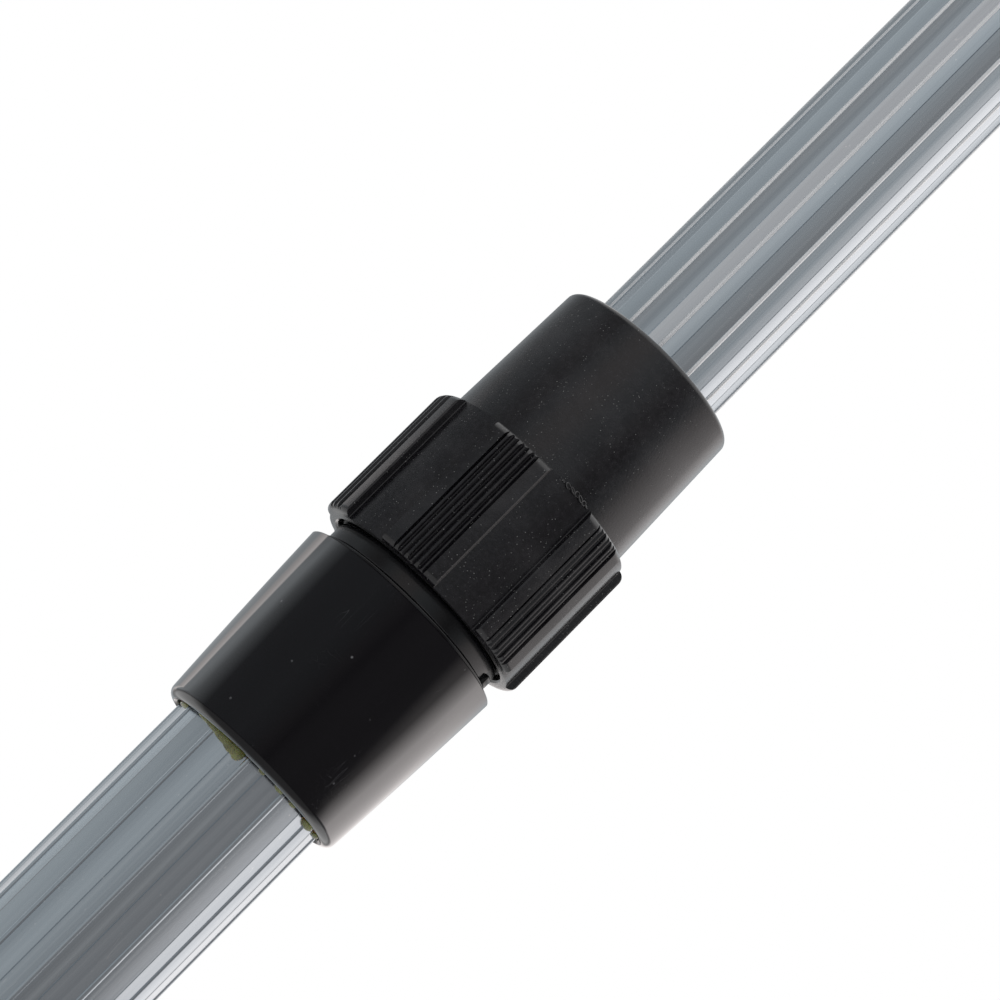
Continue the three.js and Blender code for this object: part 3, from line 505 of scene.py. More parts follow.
def satin_black():
    material, sheet, shader = new_material(
        "satin_black", IOR=1.5, Specular_IOR_Level=0.68, Coat_IOR=1.9, Coat_Roughness=0.2
    )
    skin = effect(sheet, "moulded_skin", Per_metre=2400.0, Mottle_per_metre=1300.0)
    specks = effect(sheet, "dust_specks", Per_metre=1700.0, Cut=0.16)["Mask"]
    # Large lighter patches at random: part dust film, part a painted sheen standing in for the sleeve's
    # soft highlight.
    dust_and_sheen = effect(sheet, "moulded_skin", Mottle_per_metre=70.0)["Mottle"]
    mottle = sheet.window(skin["Mottle"], 0.45, 0.7)
    tone = sheet.mix(mottle, (0.0025, 0.002, 0.0035), (0.008, 0.007, 0.0095))
    tone = sheet.mix(sheet.window(dust_and_sheen, 0.47, 0.72, 0.0, 0.8), tone, (0.024, 0.023, 0.025))
    sheet.feed(edge_lacquer(sheet, 0.55, 0.8, 0.8), shader["Coat Weight"])
    tone = sheet.mix(specks, tone, (0.38, 0.38, 0.37))
    dress(sheet, shader, tone, skin["Mottle"], (0.2, 0.29), skin["Height"], 0.022)
    return material


def moulded_black():
    material, sheet, shader = new_material("moulded_black", IOR=1.5, Specular_IOR_Level=0.42)
    skin = effect(sheet, "moulded_skin", Per_metre=1800.0, Mottle_per_metre=240.0)
    specks = effect(sheet, "dust_specks", Per_metre=600.0, Cut=0.09)["Mask"]
    tone = sheet.mix(skin["Mottle"], (0.003, 0.003, 0.004), (0.009, 0.009, 0.01))
    tone = sheet.mix(specks, tone, (0.12, 0.12, 0.12))
    dress(sheet, shader, tone, skin["Mottle"], (0.12, 0.22), skin["Height"], 0.008)
    return material


def dried_glue():
    material, sheet, shader = new_material(
        "dried_glue", IOR=1.5, Coat_Weight=0.85, Coat_Roughness=0.06, Subsurface_Weight=0.25
    )
    skin = effect(sheet, "moulded_skin", Per_metre=1200.0, Mottle_per_metre=480.0)
    thickness = sheet.window(skin["Mottle"], 0.35, 0.65)
    tone = sheet.mix(thickness, (0.06, 0.056, 0.01), (0.23, 0.21, 0.055))
    dress(sheet, shader, tone, skin["Mottle"], (0.12, 0.3), skin["Mottle"], 0.12)
    return material


def grained(name, per_metre, tones, roughness, depth, **settings):
    """A plain finish: a mottle between two tones and two roughnesses, and a fine grain."""
    material, sheet, shader = new_material(name, **settings)
    grain, mottle = per_metre
    skin = effect(sheet, "moulded_skin", Per_metre=grain, Mottle_per_metre=mottle)
    tone = sheet.mix(skin["Mottle"], *tones)
    dress(sheet, shader, tone, skin["Mottle"], roughness, skin["Height"], depth)
    return material


def bare_metal(name, dark, light, roughness):
    """A bare metal with a faint grain, for the small fixings."""
    return grained(name, (4000.0, 900.0), (dark, light), roughness, 0.006, Metallic=1.0)


FINISHES = {
    "fluted_aluminium": extruded_aluminium(),
    "rubbed_aluminium": rubbed_aluminium(),
    "gloss_black": gloss_black(),
    "satin_black": satin_black(),
    "moulded_black": moulded_black(),
    "soft_grip": grained(
        "soft_grip",
        (1500.0, 120.0),
        ((0.012, 0.012, 0.013), (0.032, 0.032, 0.034)),
        (0.62, 0.78),
        0.05,
        IOR=1.48,
        Specular_IOR_Level=0.4,
        Sheen_Weight=0.08,
        Sheen_Roughness=0.5,
    ),
    "black_rubber": grained(
        "black_rubber",
        (3000.0, 320.0),
        ((0.01, 0.01, 0.01), (0.025, 0.025, 0.025)),
        (0.45, 0.6),
        0.01,
        IOR=1.52,
        Specular_IOR_Level=0.4,
    ),
    "dried_glue": dried_glue(),
    "rivet_aluminium": bare_metal("rivet_aluminium", (0.62, 0.63, 0.64), (0.8, 0.8, 0.81), (0.3, 0.42)),
    "zinc_steel": bare_metal("zinc_steel", (0.5, 0.51, 0.53), (0.72, 0.73, 0.76), (0.22, 0.36)),
}
SLOT_OF = {part["node"]: part["material_slot"] for part in frame["record"]["subparts"]}
BODY_OF = {
    node: body for body, nodes in frame["record"]["behaviour"]["bodies"].items() for node in nodes
}


def stands_for(piece, node, name):
    """Names a finished piece, gives it its finish, and puts it in the place of its CAD node."""
    slot = SLOT_OF[node]
    piece.name = name
    piece.data.name = name
    piece.data.materials.clear()
    piece.data.materials.append(FINISHES[slot])
    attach(piece, BODY_OF[node])
    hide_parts(node)
    return piece


# ---- Tubes ----

FLUTES = 12
BEAD_HEIGHT = 0.32
BEAD_HALF_ANGLE = 1.8
BEAD_STEPS = 10
LINE_DEPTH = 0.12
LINE_HALF_ANGLE = 0.4
LINE_BESIDE_BEAD = 12
FACET_STEPS = 5
FACET_FLATNESS = 0.55
TUBE_WALL = 1.0
HIGHLIGHT_CREST_SHARE = 0.75
INNER_TURN = -7
OUTER_TURN = -4.4


def flute_outline(radius, turn):
    """The tubes' section: a bead every 30 degrees, and a line on each side of every other bead."""
    pitch = 360 / FLUTES
    line_spots = (LINE_BESIDE_BEAD, pitch - LINE_BESIDE_BEAD)
    face = radius - BEAD_HEIGHT
    points = []

    def facet(start, end):
        sag = face * (1 - math.cos(math.radians(end - start) / 2)) * FACET_FLATNESS
        for i in range(1, FACET_STEPS):
            t = i / FACET_STEPS
            points.append(polar(face - 4 * sag * t * (1 - t), start + (end - start) * t))

    for i in range(FLUTES):
        bead = turn + pitch * i
        line = bead + line_spots[i % 2]
        for j in range(BEAD_STEPS + 1):
            round_angle = math.pi * j / BEAD_STEPS
            height = BEAD_HEIGHT * math.sin(round_angle)
            points.append(polar(face + height, bead - BEAD_HALF_ANGLE * math.cos(round_angle)))
        facet(bead + BEAD_HALF_ANGLE, line - LINE_HALF_ANGLE)
        points.append(polar(face, line - LINE_HALF_ANGLE))
        points.append(polar(face - LINE_DEPTH, line))
        points.append(polar(face, line + LINE_HALF_ANGLE))
        facet(line + LINE_HALF_ANGLE, bead + pitch - BEAD_HALF_ANGLE)
    return points


def tube(node, turn):
    piece = sleeve_of(flute_outline(reach(node), turn), *span(node))
    finish_with(piece, "SOLIDIFY", thickness=TUBE_WALL * MM, offset=-1, use_even_offset=True)
    return smooth(piece, 25)


def rub_beads(piece, node):
    """Gives the crests of a tube's beads their rougher finish and the light tone that paints their
    highlight.
    """
    # The crests get the finish with the painted highlight tone.
    edge = (reach(node) - HIGHLIGHT_CREST_SHARE * BEAD_HEIGHT) * MM
    piece.data.materials.append(FINISHES["rubbed_aluminium"])
    for face in piece.data.polygons:
        if face.center.xy.length > edge:
            face.material_index = 1


# ---- Screws and rivets ----

SCREW_SHANK = 1.5
SCREW_HEAD = 2.8
SCREW_HEAD_HEIGHT = 1.2
SCREW_HEAD_ROUND = 0.45
SCREW_POINT_ROUND = 0.3
CROSS_WIDTH = 0.8
CROSS_LENGTH = 3.2
CROSS_DEPTH = 0.7
CROSS_EDGE = 0.06
RIVET_ROUND = 0.4
JOIN_DEPTH = 0.1


def cross_fixing(node):
    """A cross fixing's angle, its two distances from the axis, its height and its half height."""
    low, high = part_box(node)
    angle = 90 if low.x + high.x > 0 else -90
    inner, outer = sorted((abs(low.x) / MM, abs(high.x) / MM))
    return angle, inner, outer, (low.z + high.z) / 2 / MM, (high.z - low.z) / 2 / MM


def cross_screw(node):
    angle, inner, outer, middle, _ = cross_fixing(node)
    seat = outer - SCREW_HEAD_HEIGHT
    head = rounded(pin(SCREW_HEAD, seat, outer, angle, middle), SCREW_HEAD_ROUND, segments=4)
    shank = rounded(pin(SCREW_SHANK, inner, seat + JOIN_DEPTH, angle, middle), SCREW_POINT_ROUND)
    slots = [
        bar(outer - CROSS_DEPTH, outer + OVERSHOOT, *sides, angle, middle)
        for sides in ((CROSS_WIDTH, CROSS_LENGTH), (CROSS_LENGTH, CROSS_WIDTH))
    ]
    piece = cut(joined(head, shank), *slots)
    return smooth(rounded(piece, CROSS_EDGE, segments=2, angle=50))


def rivet(node):
    angle, inner, outer, middle, radius = cross_fixing(node)
    return smooth(rounded(pin(radius, inner, outer, angle, middle), RIVET_ROUND, segments=4))


def head_pockets(radius, height):
    """Two round pockets for screw heads, on the left and the right of a moulding."""
    return [
        pin(SCREW_HEAD + GAP, radius - POCKET_DEPTH, radius + OVERSHOOT, angle, height)
        for angle in (-90, 90)
    ]


# ---- Hand end ----

EYE_HOLE = 6.5
EYE_THICKNESS = 12
EYE_HOLE_RISE = 1
EYE_SIDE_INSET = 2.1
EYE_CORNER = 8
CAP_SKIRT = 18
CAP_SPIGOT_WALL = 2
CAP_FLOOR = 3
CAP_ROUND = 1.2
CAP_SPIGOT_GAP = 0.45
EYE_ROUND = 1.4


def end_cap():
    radius = reach("end_cap")
    spigot_top = top("end_cap")
    over_tube = reach("outer_tube") + GAP
    spigot = reach("outer_tube") - TUBE_WALL - BEAD_HEIGHT - CAP_SPIGOT_GAP
    floor = foot("outer_tube") - GAP
    eye_top = floor - CAP_FLOOR
    skirt = floor + CAP_SKIRT
    cup_profile = [
        (0, eye_top),
        *foot_round(radius, eye_top, CAP_ROUND),
        (radius, skirt),
        (over_tube, skirt),
        (over_tube, floor),
        (spigot, floor),
        (spigot, spigot_top),
        (spigot - CAP_SPIGOT_WALL, spigot_top),
        (spigot - CAP_SPIGOT_WALL, floor + CAP_SPIGOT_WALL),
        (0, floor + CAP_SPIGOT_WALL),
    ]
    cup = turned(cup_profile)
    side = radius - EYE_SIDE_INSET
    corner = EYE_CORNER
    outline = [
        (-side, eye_top + OVERSHOOT),
        *arc((corner - side, corner), corner, 180, 270, 10),
        *arc((side - corner, corner), corner, 270, 360, 10),
        (side, eye_top + OVERSHOOT),
    ]
    half = EYE_THICKNESS / 2
    plate = drawn([(x, -half, z) for x, z in outline])
    bpy.ops.mesh.edge_face_add()
    bpy.ops.mesh.extrude_region_move(TRANSFORM_OT_translate={"value": (0, EYE_THICKNESS * MM, 0)})
    tidied(plate)
    hole_height = eye_top / 2 + EYE_HOLE_RISE
    hole = pin(EYE_HOLE, -half - OVERSHOOT, half + OVERSHOOT, 0, hole_height, steps=64)
    plate = rounded(cut(plate, hole), EYE_ROUND, segments=5, angle=50)
    return smooth(cut(joined(cup, plate), *head_pockets(radius, floor + CAP_SKIRT / 2)))


GRIP_FLUTES = 20
GRIP_FLUTE_DEPTH = 0.6
GRIP_FLUTE_STEPS = 8
GRIP_BAND = 7
GRIP_ROUND = 1.2
GRIP_BAND_OVERLAP = 1


def handle_grip():
    radius = reach("handle_grip")
    low, high = span("handle_grip")
    flutes = []
    for i in range(GRIP_FLUTES):
        for j in range(GRIP_FLUTE_STEPS):
            step = j / GRIP_FLUTE_STEPS
            depth = GRIP_FLUTE_DEPTH * (1 + math.cos(FULL_TURN * step)) / 2
            flutes.append(polar(radius - depth, (i + step) * 360 / GRIP_FLUTES))
    body = raised(flutes, low + GRIP_BAND_OVERLAP, high - GRIP_BAND_OVERLAP)
    bands = [
        turned(
            [
                (0, start),
                *foot_round(radius, start, GRIP_ROUND),
                *top_round(radius, start + GRIP_BAND, GRIP_ROUND),
                (0, start + GRIP_BAND),
            ]
        )
        for start in (low, high - GRIP_BAND)
    ]
    inside = rod(reach("outer_tube") + GAP, low - OVERSHOOT, high + OVERSHOOT)
    return smooth(cut(joined(body, *bands), inside), 35)


# ---- Twist lock ----

COLLAR_FOOT = 17.65
COLLAR_FOOT_ROUND = 1.5
COLLAR_SWELL = 0.1
COLLAR_FLARE_STEPS = 14
COLLAR_RIM = 0.5
COLLAR_RIM_DEPTH = 5.4
COLLAR_LAND = 5
COLLAR_LAND_SLOPE = 1
COLLAR_MOUTH_CHAMFER = 0.9
CRISP_EDGE = 0.15
FLANGE_ABOVE_RIM = 0.8
FLANGE_THICKNESS = 1.4
FLANGE_ROUND = 0.3
SEAT_RADIUS = 17.05
SEAT_TOP = 4.3
SEAT_FILLET = 0.35
SEAT_ROUND = 0.6
SOCKET_WALL = 1.6
NECK_WALL = 2.4
NECK_EDGE = 0.4
NECK_LAND = 0.5
NECK_TOP_MOUTH = 4.5
LUG_ANGLE = 70
LUG_INSET = 0.1
LUG_DEPTH = 1.5
LUG_WIDTH = 2.4
LUG_HEIGHT = 1.8
LUG_ABOVE_FLANGE = 0.8
LUG_ROUND = 0.25
LOCK_LEAD = 4
LOCK_TURNS = 2.75
LOCK_RIDGE = 1.0
LOCK_THREAD_START = 7.8
O_RING_ROUND = 0.85
O_RING_INSET = 0.9


def collar():
    low, rim = span("collar")
    rim_radius = reach("collar")
    over_tube = reach("outer_tube") + GAP
    hollow = over_tube + SOCKET_WALL + GAP
    start = low + COLLAR_FOOT_ROUND
    flare = []
    for i in range(COLLAR_FLARE_STEPS):
        t = i / COLLAR_FLARE_STEPS
        swell = 4 * COLLAR_SWELL * t * (1 - t)
        radius = COLLAR_FOOT + (rim_radius - COLLAR_FOOT) * t + swell
        flare.append((radius, start + (rim - start) * t))
    profile = [
        *foot_round(COLLAR_FOOT, low, COLLAR_FOOT_ROUND, 8)[:-1],
        *flare,
        (rim_radius, rim - CRISP_EDGE),
        (rim_radius - CRISP_EDGE, rim),
        (rim_radius - COLLAR_RIM, rim),
        (hollow, rim - COLLAR_RIM_DEPTH),
        (hollow, low + COLLAR_LAND),
        (over_tube, low + COLLAR_LAND - COLLAR_LAND_SLOPE),
        (over_tube, low + 2 * COLLAR_MOUTH_CHAMFER),
        (over_tube + COLLAR_MOUTH_CHAMFER, low),
    ]
    return smooth(turned(profile, steps=192), 40)


def lock_body():
    rim = top("collar")
    low, neck_top = span("lock_body")
    over_tube = reach("outer_tube") + GAP
    socket = over_tube + SOCKET_WALL
    flange = reach("lock_body")
    flange_top = rim + FLANGE_ABOVE_RIM
    flange_foot = flange_top - FLANGE_THICKNESS
    seat_top = rim + SEAT_TOP
    inside = bore("lock_body")
    root = inside + NECK_WALL
    shoulder = top("outer_tube") + GAP
    fillet_centre = (SEAT_RADIUS + SEAT_FILLET, flange_top + SEAT_FILLET)
    body_profile = [
        (over_tube, low),
        (socket, low),
        (socket, flange_foot),
        (flange - CRISP_EDGE, flange_foot),
        (flange, flange_foot + CRISP_EDGE),
        *top_round(flange, flange_top, FLANGE_ROUND, 4),
        *reversed(arc(fillet_centre, SEAT_FILLET, 180, 270, 4)),
        (SEAT_RADIUS, seat_top - SEAT_ROUND),
        *top_round(SEAT_RADIUS, seat_top, SEAT_ROUND, 4),
        (root, seat_top),
        (root, neck_top - NECK_EDGE),
        (root - NECK_EDGE, neck_top),
        (root - NECK_LAND, neck_top),
        (inside, neck_top - NECK_TOP_MOUTH),
        (inside, shoulder),
        (over_tube, shoulder),
    ]
    body = turned(body_profile, steps=160)
    ridge = thread_ridge(root, LOCK_RIDGE, LOCK_LEAD, LOCK_TURNS, rim + LOCK_THREAD_START)
    lug_end = flange - LUG_INSET
    lug = bar(
        lug_end - LUG_DEPTH, lug_end, LUG_WIDTH, LUG_HEIGHT, LUG_ANGLE, flange_top + LUG_ABOVE_FLANGE
    )
    return smooth(joined(body, ridge, rounded(lug, LUG_ROUND)), 35)


def neck_o_ring():
    middle = (foot("neck_o_ring") + top("neck_o_ring")) / 2
    centre = (reach("neck_o_ring") - O_RING_INSET, middle)
    return smooth(turned(arc(centre, O_RING_ROUND, 0, 360, 20)[:-1]), 60)


PADS = 6
PAD_TURN = -16
PAD_HALF_ANGLE = 16.25
PAD_HEIGHT = 1.3
PAD_EDGE_DROP = 0.25
PAD_EDGE_ANGLE = 0.6
PAD_FOOT_RISE = 0.12
PAD_FOOT_ANGLE = 0.15
PAD_CLEAR_ANGLE = 0.5
BAND_STEPS = (1, 2, 3)
LOW_BAND_STEP = 1.7
HIGH_BAND_STEP = 1.9
BAND_EDGE_ANGLE = 0.35
RIBS = 6
RIB_PITCH = 3
RIB_DEPTH = 0.6
LOW_RIB_DROP = 0.3
# A rib's corners, from the valley up: how far each is from the rib's middle, as a share of half the
# pitch, and how far it drops from the pad. A low rib's crest drops by LOW_RIB_DROP as well.
RIB_VALLEY = (1, RIB_DEPTH)
RIB_FLANK = (0.68, 0.8 * RIB_DEPTH)
RIB_CREST = [(0.48, 0.1), (0.25, 0)]
SLEEVE_LENGTH = 27
SLEEVE_FOOT = 18.0
SLEEVE_DRAFT = 0.7
SLEEVE_ROUND = 1.0
SLEEVE_SINK = 6
RING_FOOT_ROUND = 1.2
RING_FOOT_INSET = 1.45
RING_TOP_ROUND = 1.5
RING_ROUND_INSET = 0.1
RING_CROWN = 0.4
CROWN_LAND = 0.3
NUT_MOUTH_LENGTH = 7
NUT_MOUTH_GAP = 0.45
NUT_MOUTH_CHAMFER = 0.4
NUT_CONE_LENGTH = 6
COUNTERBORE_DEPTH = 2.8
COUNTERBORE_CHAMFER = 0.3
RUNNING_GAP = 0.35
GROOVE_DEPTH = 0.7
GROOVE_HALF = 0.8
GROOVE_ABOVE_RING = 3
OUTLINE_MARGIN = 0.002


def nut_outline(pad_radius):
    """The grip ring's section: pads with a band on each side of six ribs, and smooth stretches."""
    smooth_radius = pad_radius - PAD_HEIGHT
    spread = 180 / PADS - PAD_HALF_ANGLE - PAD_CLEAR_ANGLE
    points = []

    def put(radius, *angles):
        points.extend(polar(radius, angle) for angle in angles)

    for pad in range(PADS):
        middle = PAD_TURN + 360 / PADS * pad
        start, end = middle - PAD_HALF_ANGLE, middle + PAD_HALF_ANGLE
        put(smooth_radius, *(middle - 180 / PADS + spread * i / 8 for i in range(9)))
        put(smooth_radius + PAD_FOOT_RISE, start - PAD_FOOT_ANGLE)
        put(pad_radius - PAD_EDGE_DROP, start)
        put(pad_radius, start + PAD_EDGE_ANGLE)
        put(pad_radius, *(start + PAD_EDGE_ANGLE + i * LOW_BAND_STEP for i in BAND_STEPS))
        half = RIB_PITCH / 2
        put(pad_radius, middle - RIBS * half - BAND_EDGE_ANGLE)
        for rib in range(RIBS):
            centre = middle + (rib - (RIBS - 1) / 2) * RIB_PITCH
            low = LOW_RIB_DROP if rib % 2 else 0
            crest = [(share, low + drop) for share, drop in RIB_CREST]
            for share, drop in (RIB_VALLEY, RIB_FLANK, *crest):
                put(pad_radius - drop, centre - share * half)
            for share, drop in (*reversed(crest), RIB_FLANK):
                put(pad_radius - drop, centre + share * half)
        last = middle + RIBS * half
        put(pad_radius - RIB_DEPTH, last)
        put(pad_radius, last + BAND_EDGE_ANGLE)
        put(pad_radius, *(last + BAND_EDGE_ANGLE + i * HIGH_BAND_STEP for i in BAND_STEPS))
        put(pad_radius, end - PAD_EDGE_ANGLE)
        put(pad_radius - PAD_EDGE_DROP, end)
        put(smooth_radius + PAD_FOOT_RISE, end + PAD_FOOT_ANGLE)
        put(smooth_radius, *(end + PAD_CLEAR_ANGLE + spread * i / 9 for i in range(9)))
    return points


# Each curl of flash: its angle, its radius, its height above the ring's edge, and its tilt.
FLASH_CURLS = [
    (8.5, 0.3, 0.0, 25),
    (11.4, 0.5, 0.08, 50),
    (14.5, 0.62, 0.12, 30),
    (17.2, 0.45, 0.18, 65),
    (20, 0.6, 0.12, 40),
    (22.6, 0.4, 0.05, 70),
    (24.8, 0.3, 0.0, 30),
]
FLASH_THICKNESS = 0.11
FLASH_LEAN = 20
FLASH_SINK = 0.05
FLASH_DROP = 0.2


def mould_flash(radius, edge):
    """Curled scraps of moulding flash, left along the ring's upper edge."""
    return [
        added(
            bpy.ops.mesh.primitive_torus_add,
            major_segments=20,
            minor_segments=8,
            major_radius=size * MM,
            minor_radius=FLASH_THICKNESS * MM,
            location=Vector((*polar(radius, angle), edge + above)) * MM,
            rotation=[math.radians(turn) for turn in (tilt, FLASH_LEAN, angle)],
        )
        for angle, size, above, tilt in FLASH_CURLS
    ]


def lock_nut():
    low, high = span("lock_nut")
    pad = reach("lock_nut")
    ring_top = high - SLEEVE_LENGTH
    crown = ring_top + RING_CROWN
    foot_corner = (pad - RING_FOOT_ROUND, low + RING_FOOT_ROUND + RING_ROUND_INSET)
    top_corner = (pad - RING_TOP_ROUND, crown - RING_TOP_ROUND - RING_ROUND_INSET)
    envelope_profile = [
        (0, low),
        (pad - RING_FOOT_INSET, low),
        *arc(foot_corner, RING_FOOT_ROUND, -80, 0, 6),
        *arc(top_corner, RING_TOP_ROUND, 0, 75, 8),
        (SLEEVE_FOOT + CROWN_LAND, crown),
        (0, crown),
    ]
    envelope = turned(envelope_profile, steps=240)
    section = raised(nut_outline(pad + OUTLINE_MARGIN), low - OVERSHOOT / 2, crown + OVERSHOOT / 2)
    ring = common(section, envelope)
    sleeve_profile = [
        (0, ring_top - SLEEVE_SINK),
        (SLEEVE_FOOT, ring_top - SLEEVE_SINK),
        (SLEEVE_FOOT, ring_top),
        *top_round(SLEEVE_FOOT - SLEEVE_DRAFT, high, SLEEVE_ROUND, 8),
        (0, high),
    ]
    sleeve = turned(sleeve_profile, steps=180)
    counterbore = reach("neck_o_ring") + RUNNING_GAP
    thread_bore = reach("clamp_ring") - GROOVE_DEPTH + RUNNING_GAP
    groove = ring_top + GROOVE_ABOVE_RING
    groove_mouth = GROOVE_HALF + GROOVE_DEPTH
    mouth = reach("inner_tube") + NUT_MOUTH_GAP
    hollow_profile = [
        (0, low - OVERSHOOT),
        (counterbore + COUNTERBORE_CHAMFER, low - OVERSHOOT),
        (counterbore + COUNTERBORE_CHAMFER, low),
        (counterbore, low + COUNTERBORE_CHAMFER),
        (counterbore, low + COUNTERBORE_DEPTH),
        (thread_bore, low + COUNTERBORE_DEPTH),
        (thread_bore, groove - groove_mouth),
        (thread_bore + GROOVE_DEPTH, groove - GROOVE_HALF),
        (thread_bore + GROOVE_DEPTH, groove + GROOVE_HALF),
        (thread_bore, groove + groove_mouth),
        (thread_bore, high - NUT_MOUTH_LENGTH - NUT_CONE_LENGTH),
        (mouth, high - NUT_MOUTH_LENGTH),
        (mouth, high - NUT_MOUTH_CHAMFER),
        (mouth + NUT_MOUTH_CHAMFER, high),
        (mouth + NUT_MOUTH_CHAMFER, high + OVERSHOOT),
        (0, high + OVERSHOOT),
    ]
    hollow = turned(hollow_profile, steps=160)
    flash = mould_flash(pad - PAD_HEIGHT - FLASH_SINK, crown - FLASH_DROP)
    return smooth(joined(cut(joined(ring, sleeve), hollow), *flash), 32)


CLAMP_SLOTS = 4
CLAMP_SLOT_WIDTH = 2.5
CLAMP_FOOT_LAND = 0.55
CLAMP_FOOT_INSET = 0.85
CLAMP_FOOT_HEIGHT = 3
CLAMP_FOOT_EDGE = 0.35
CLAMP_BEAD_HALF = 0.75
CLAMP_CONE_INSET = 1.45
CLAMP_EDGE = 0.15


def clamp_ring():
    low, high = span("clamp_ring")
    inside = reach("inner_tube") + GAP
    bead = reach("clamp_ring")
    radius = bead - GROOVE_DEPTH
    nut_top = top("lock_nut")
    middle = nut_top - SLEEVE_LENGTH + GROOVE_ABOVE_RING
    bead_foot = CLAMP_BEAD_HALF + GROOVE_DEPTH
    profile = [
        (inside, low),
        (inside + CLAMP_FOOT_LAND, low),
        (radius - CLAMP_FOOT_INSET, low + CLAMP_FOOT_HEIGHT),
        (radius, low + CLAMP_FOOT_HEIGHT + CLAMP_FOOT_EDGE),
        (radius, middle - bead_foot),
        (bead, middle - CLAMP_BEAD_HALF),
        (bead, middle + CLAMP_BEAD_HALF),
        (radius, middle + bead_foot),
        (radius, nut_top - NUT_MOUTH_LENGTH - NUT_CONE_LENGTH - GAP),
        (radius - CLAMP_CONE_INSET, high),
        (inside, high),
    ]
    piece = turned(profile)
    slots = []
    for i in range(CLAMP_SLOTS):
        # The first slot goes the whole length, so the ring can close. The others end half way.
        length = (high - low) * (4 if i == 0 else 1)
        angle = 180 + 360 / CLAMP_SLOTS * i
        slots.append(bar(inside - OVERSHOOT, bead + OVERSHOOT, CLAMP_SLOT_WIDTH, length, angle, low))
    return smooth(rounded(cut(piece, *slots), CLAMP_EDGE, segments=2, angle=50))


# ---- Dried glue at the collar's foot ----

GLUE_GRAIN = 0.13
GLUE_CENTRE_OUT = 0.25
GLUE_CENTRE_RISE = 0.25
GLUE_CENTRE_SAG = 0.3
GLUE_LEAST_THICK = 0.2
GLUE_THICK = 0.75
GLUE_LEAST_DROP = 0.3
GLUE_DROP = 0.7
# The ring's section: how far each corner lies from the tube's face, and above the collar's foot.
GLUE_RING = [(-0.3, 2.0), (-0.3, 0.9), (0.3, 0.9), (0.7, 1.1), (0.7, 1.4), (0.35, 2.0)]
# Each run of glue: its middle angle and half width in degrees, and how far it hangs and stands out.
GLUE_RUNS = [
    (-38, 13, 0.3, 0.35),
    (-31, 12, 0.6, 0.45),
    (-24, 10, 1.0, 0.55),
    (-17, 8, 1.4, 0.65),
    (-12, 4.5, 1.65, 0.75),
    (6, 3, 0.3, 0.4),
    (21, 4, 0.35, 0.45),
    (35, 3, 0.3, 0.4),
    (56, 6, 0.85, 0.9),
    (76, 5, 0.4, 0.6),
    (112, 10, 0.45, 0.6),
    (150, 12, 0.6, 0.8),
    (196, 11, 0.35, 0.5),
    (238, 14, 0.5, 0.7),
    (287, 8, 0.4, 0.5),
]


def glue_run(middle, half, down, out):
    """A flattened ball of glue against the tube, across the collar's mouth."""
    face = reach("outer_tube") - BEAD_HEIGHT
    x, y = polar(face + GLUE_CENTRE_OUT * out, middle)
    height = foot("collar") + GLUE_CENTRE_RISE - GLUE_CENTRE_SAG * down
    thickness = GLUE_LEAST_THICK + GLUE_THICK * out
    drop = GLUE_LEAST_DROP + GLUE_DROP * down
    return added(
        bpy.ops.mesh.primitive_uv_sphere_add,
        segments=32,
        ring_count=16,
        radius=1,
        location=Vector((x, y, height)) * MM,
        rotation=(0, 0, math.radians(middle)),
        scale=Vector((face * math.radians(half), thickness, drop)) * MM,
    )


def collar_glue():
    """A bead of glue round the tube in the collar's mouth, with the runs that came out of it."""
    face = reach("outer_tube") - BEAD_HEIGHT
    mouth = foot("collar")
    ring = turned([(face + out, mouth + up) for out, up in GLUE_RING])
    runs = [glue_run(*run) for run in GLUE_RUNS]
    bpy.ops.object.select_all(action="DESELECT")
    for run in runs:
        run.select_set(True)
    ring.select_set(True)
    bpy.context.view_layer.objects.active = ring
    bpy.ops.object.join()
    finish_with(ring, "REMESH", mode="VOXEL", voxel_size=GLUE_GRAIN * MM)
    finish_with(ring, "SMOOTH", factor=0.6, iterations=4)
    return smooth(ring, 80)


# ---- Foot of the inner tube ----


BUSH_BORE_GAP = 0.15
PLUG_FLANGE = 2.2
PLUG_WALL = 2
PLUG_EDGE = 0.4
MOULDED_EDGE = 0.5


def guide_bush():
    low, high = span("guide_bush")
    outline = flute_outline(reach("guide_bush"), OUTER_TURN)
    inside = rod(reach("inner_tube") + BUSH_BORE_GAP, low - OVERSHOOT, high + OVERSHOOT)
    return smooth(cut(raised(outline, low, high), inside))


def inside_inner_tube():
    """The radius of a plug that goes in the inner tube."""
    return reach("inner_tube") - TUBE_WALL - 2 * BEAD_HEIGHT - GAP


def foot_plug():
    low, high = span("foot_plug")
    flange = reach("foot_plug")
    seat = low + PLUG_FLANGE
    spigot = inside_inner_tube()
    profile = [
        (0, low),
        (flange - MOULDED_EDGE, low),
        (flange, low + MOULDED_EDGE),
        (flange, seat),
        (spigot, seat),
        (spigot, high - PLUG_EDGE),
        (spigot - PLUG_EDGE, high),
        (spigot - PLUG_WALL, high),
        (spigot - PLUG_WALL, seat),
        (0, seat),
    ]
    return smooth(turned(profile))


# ---- Tip ----

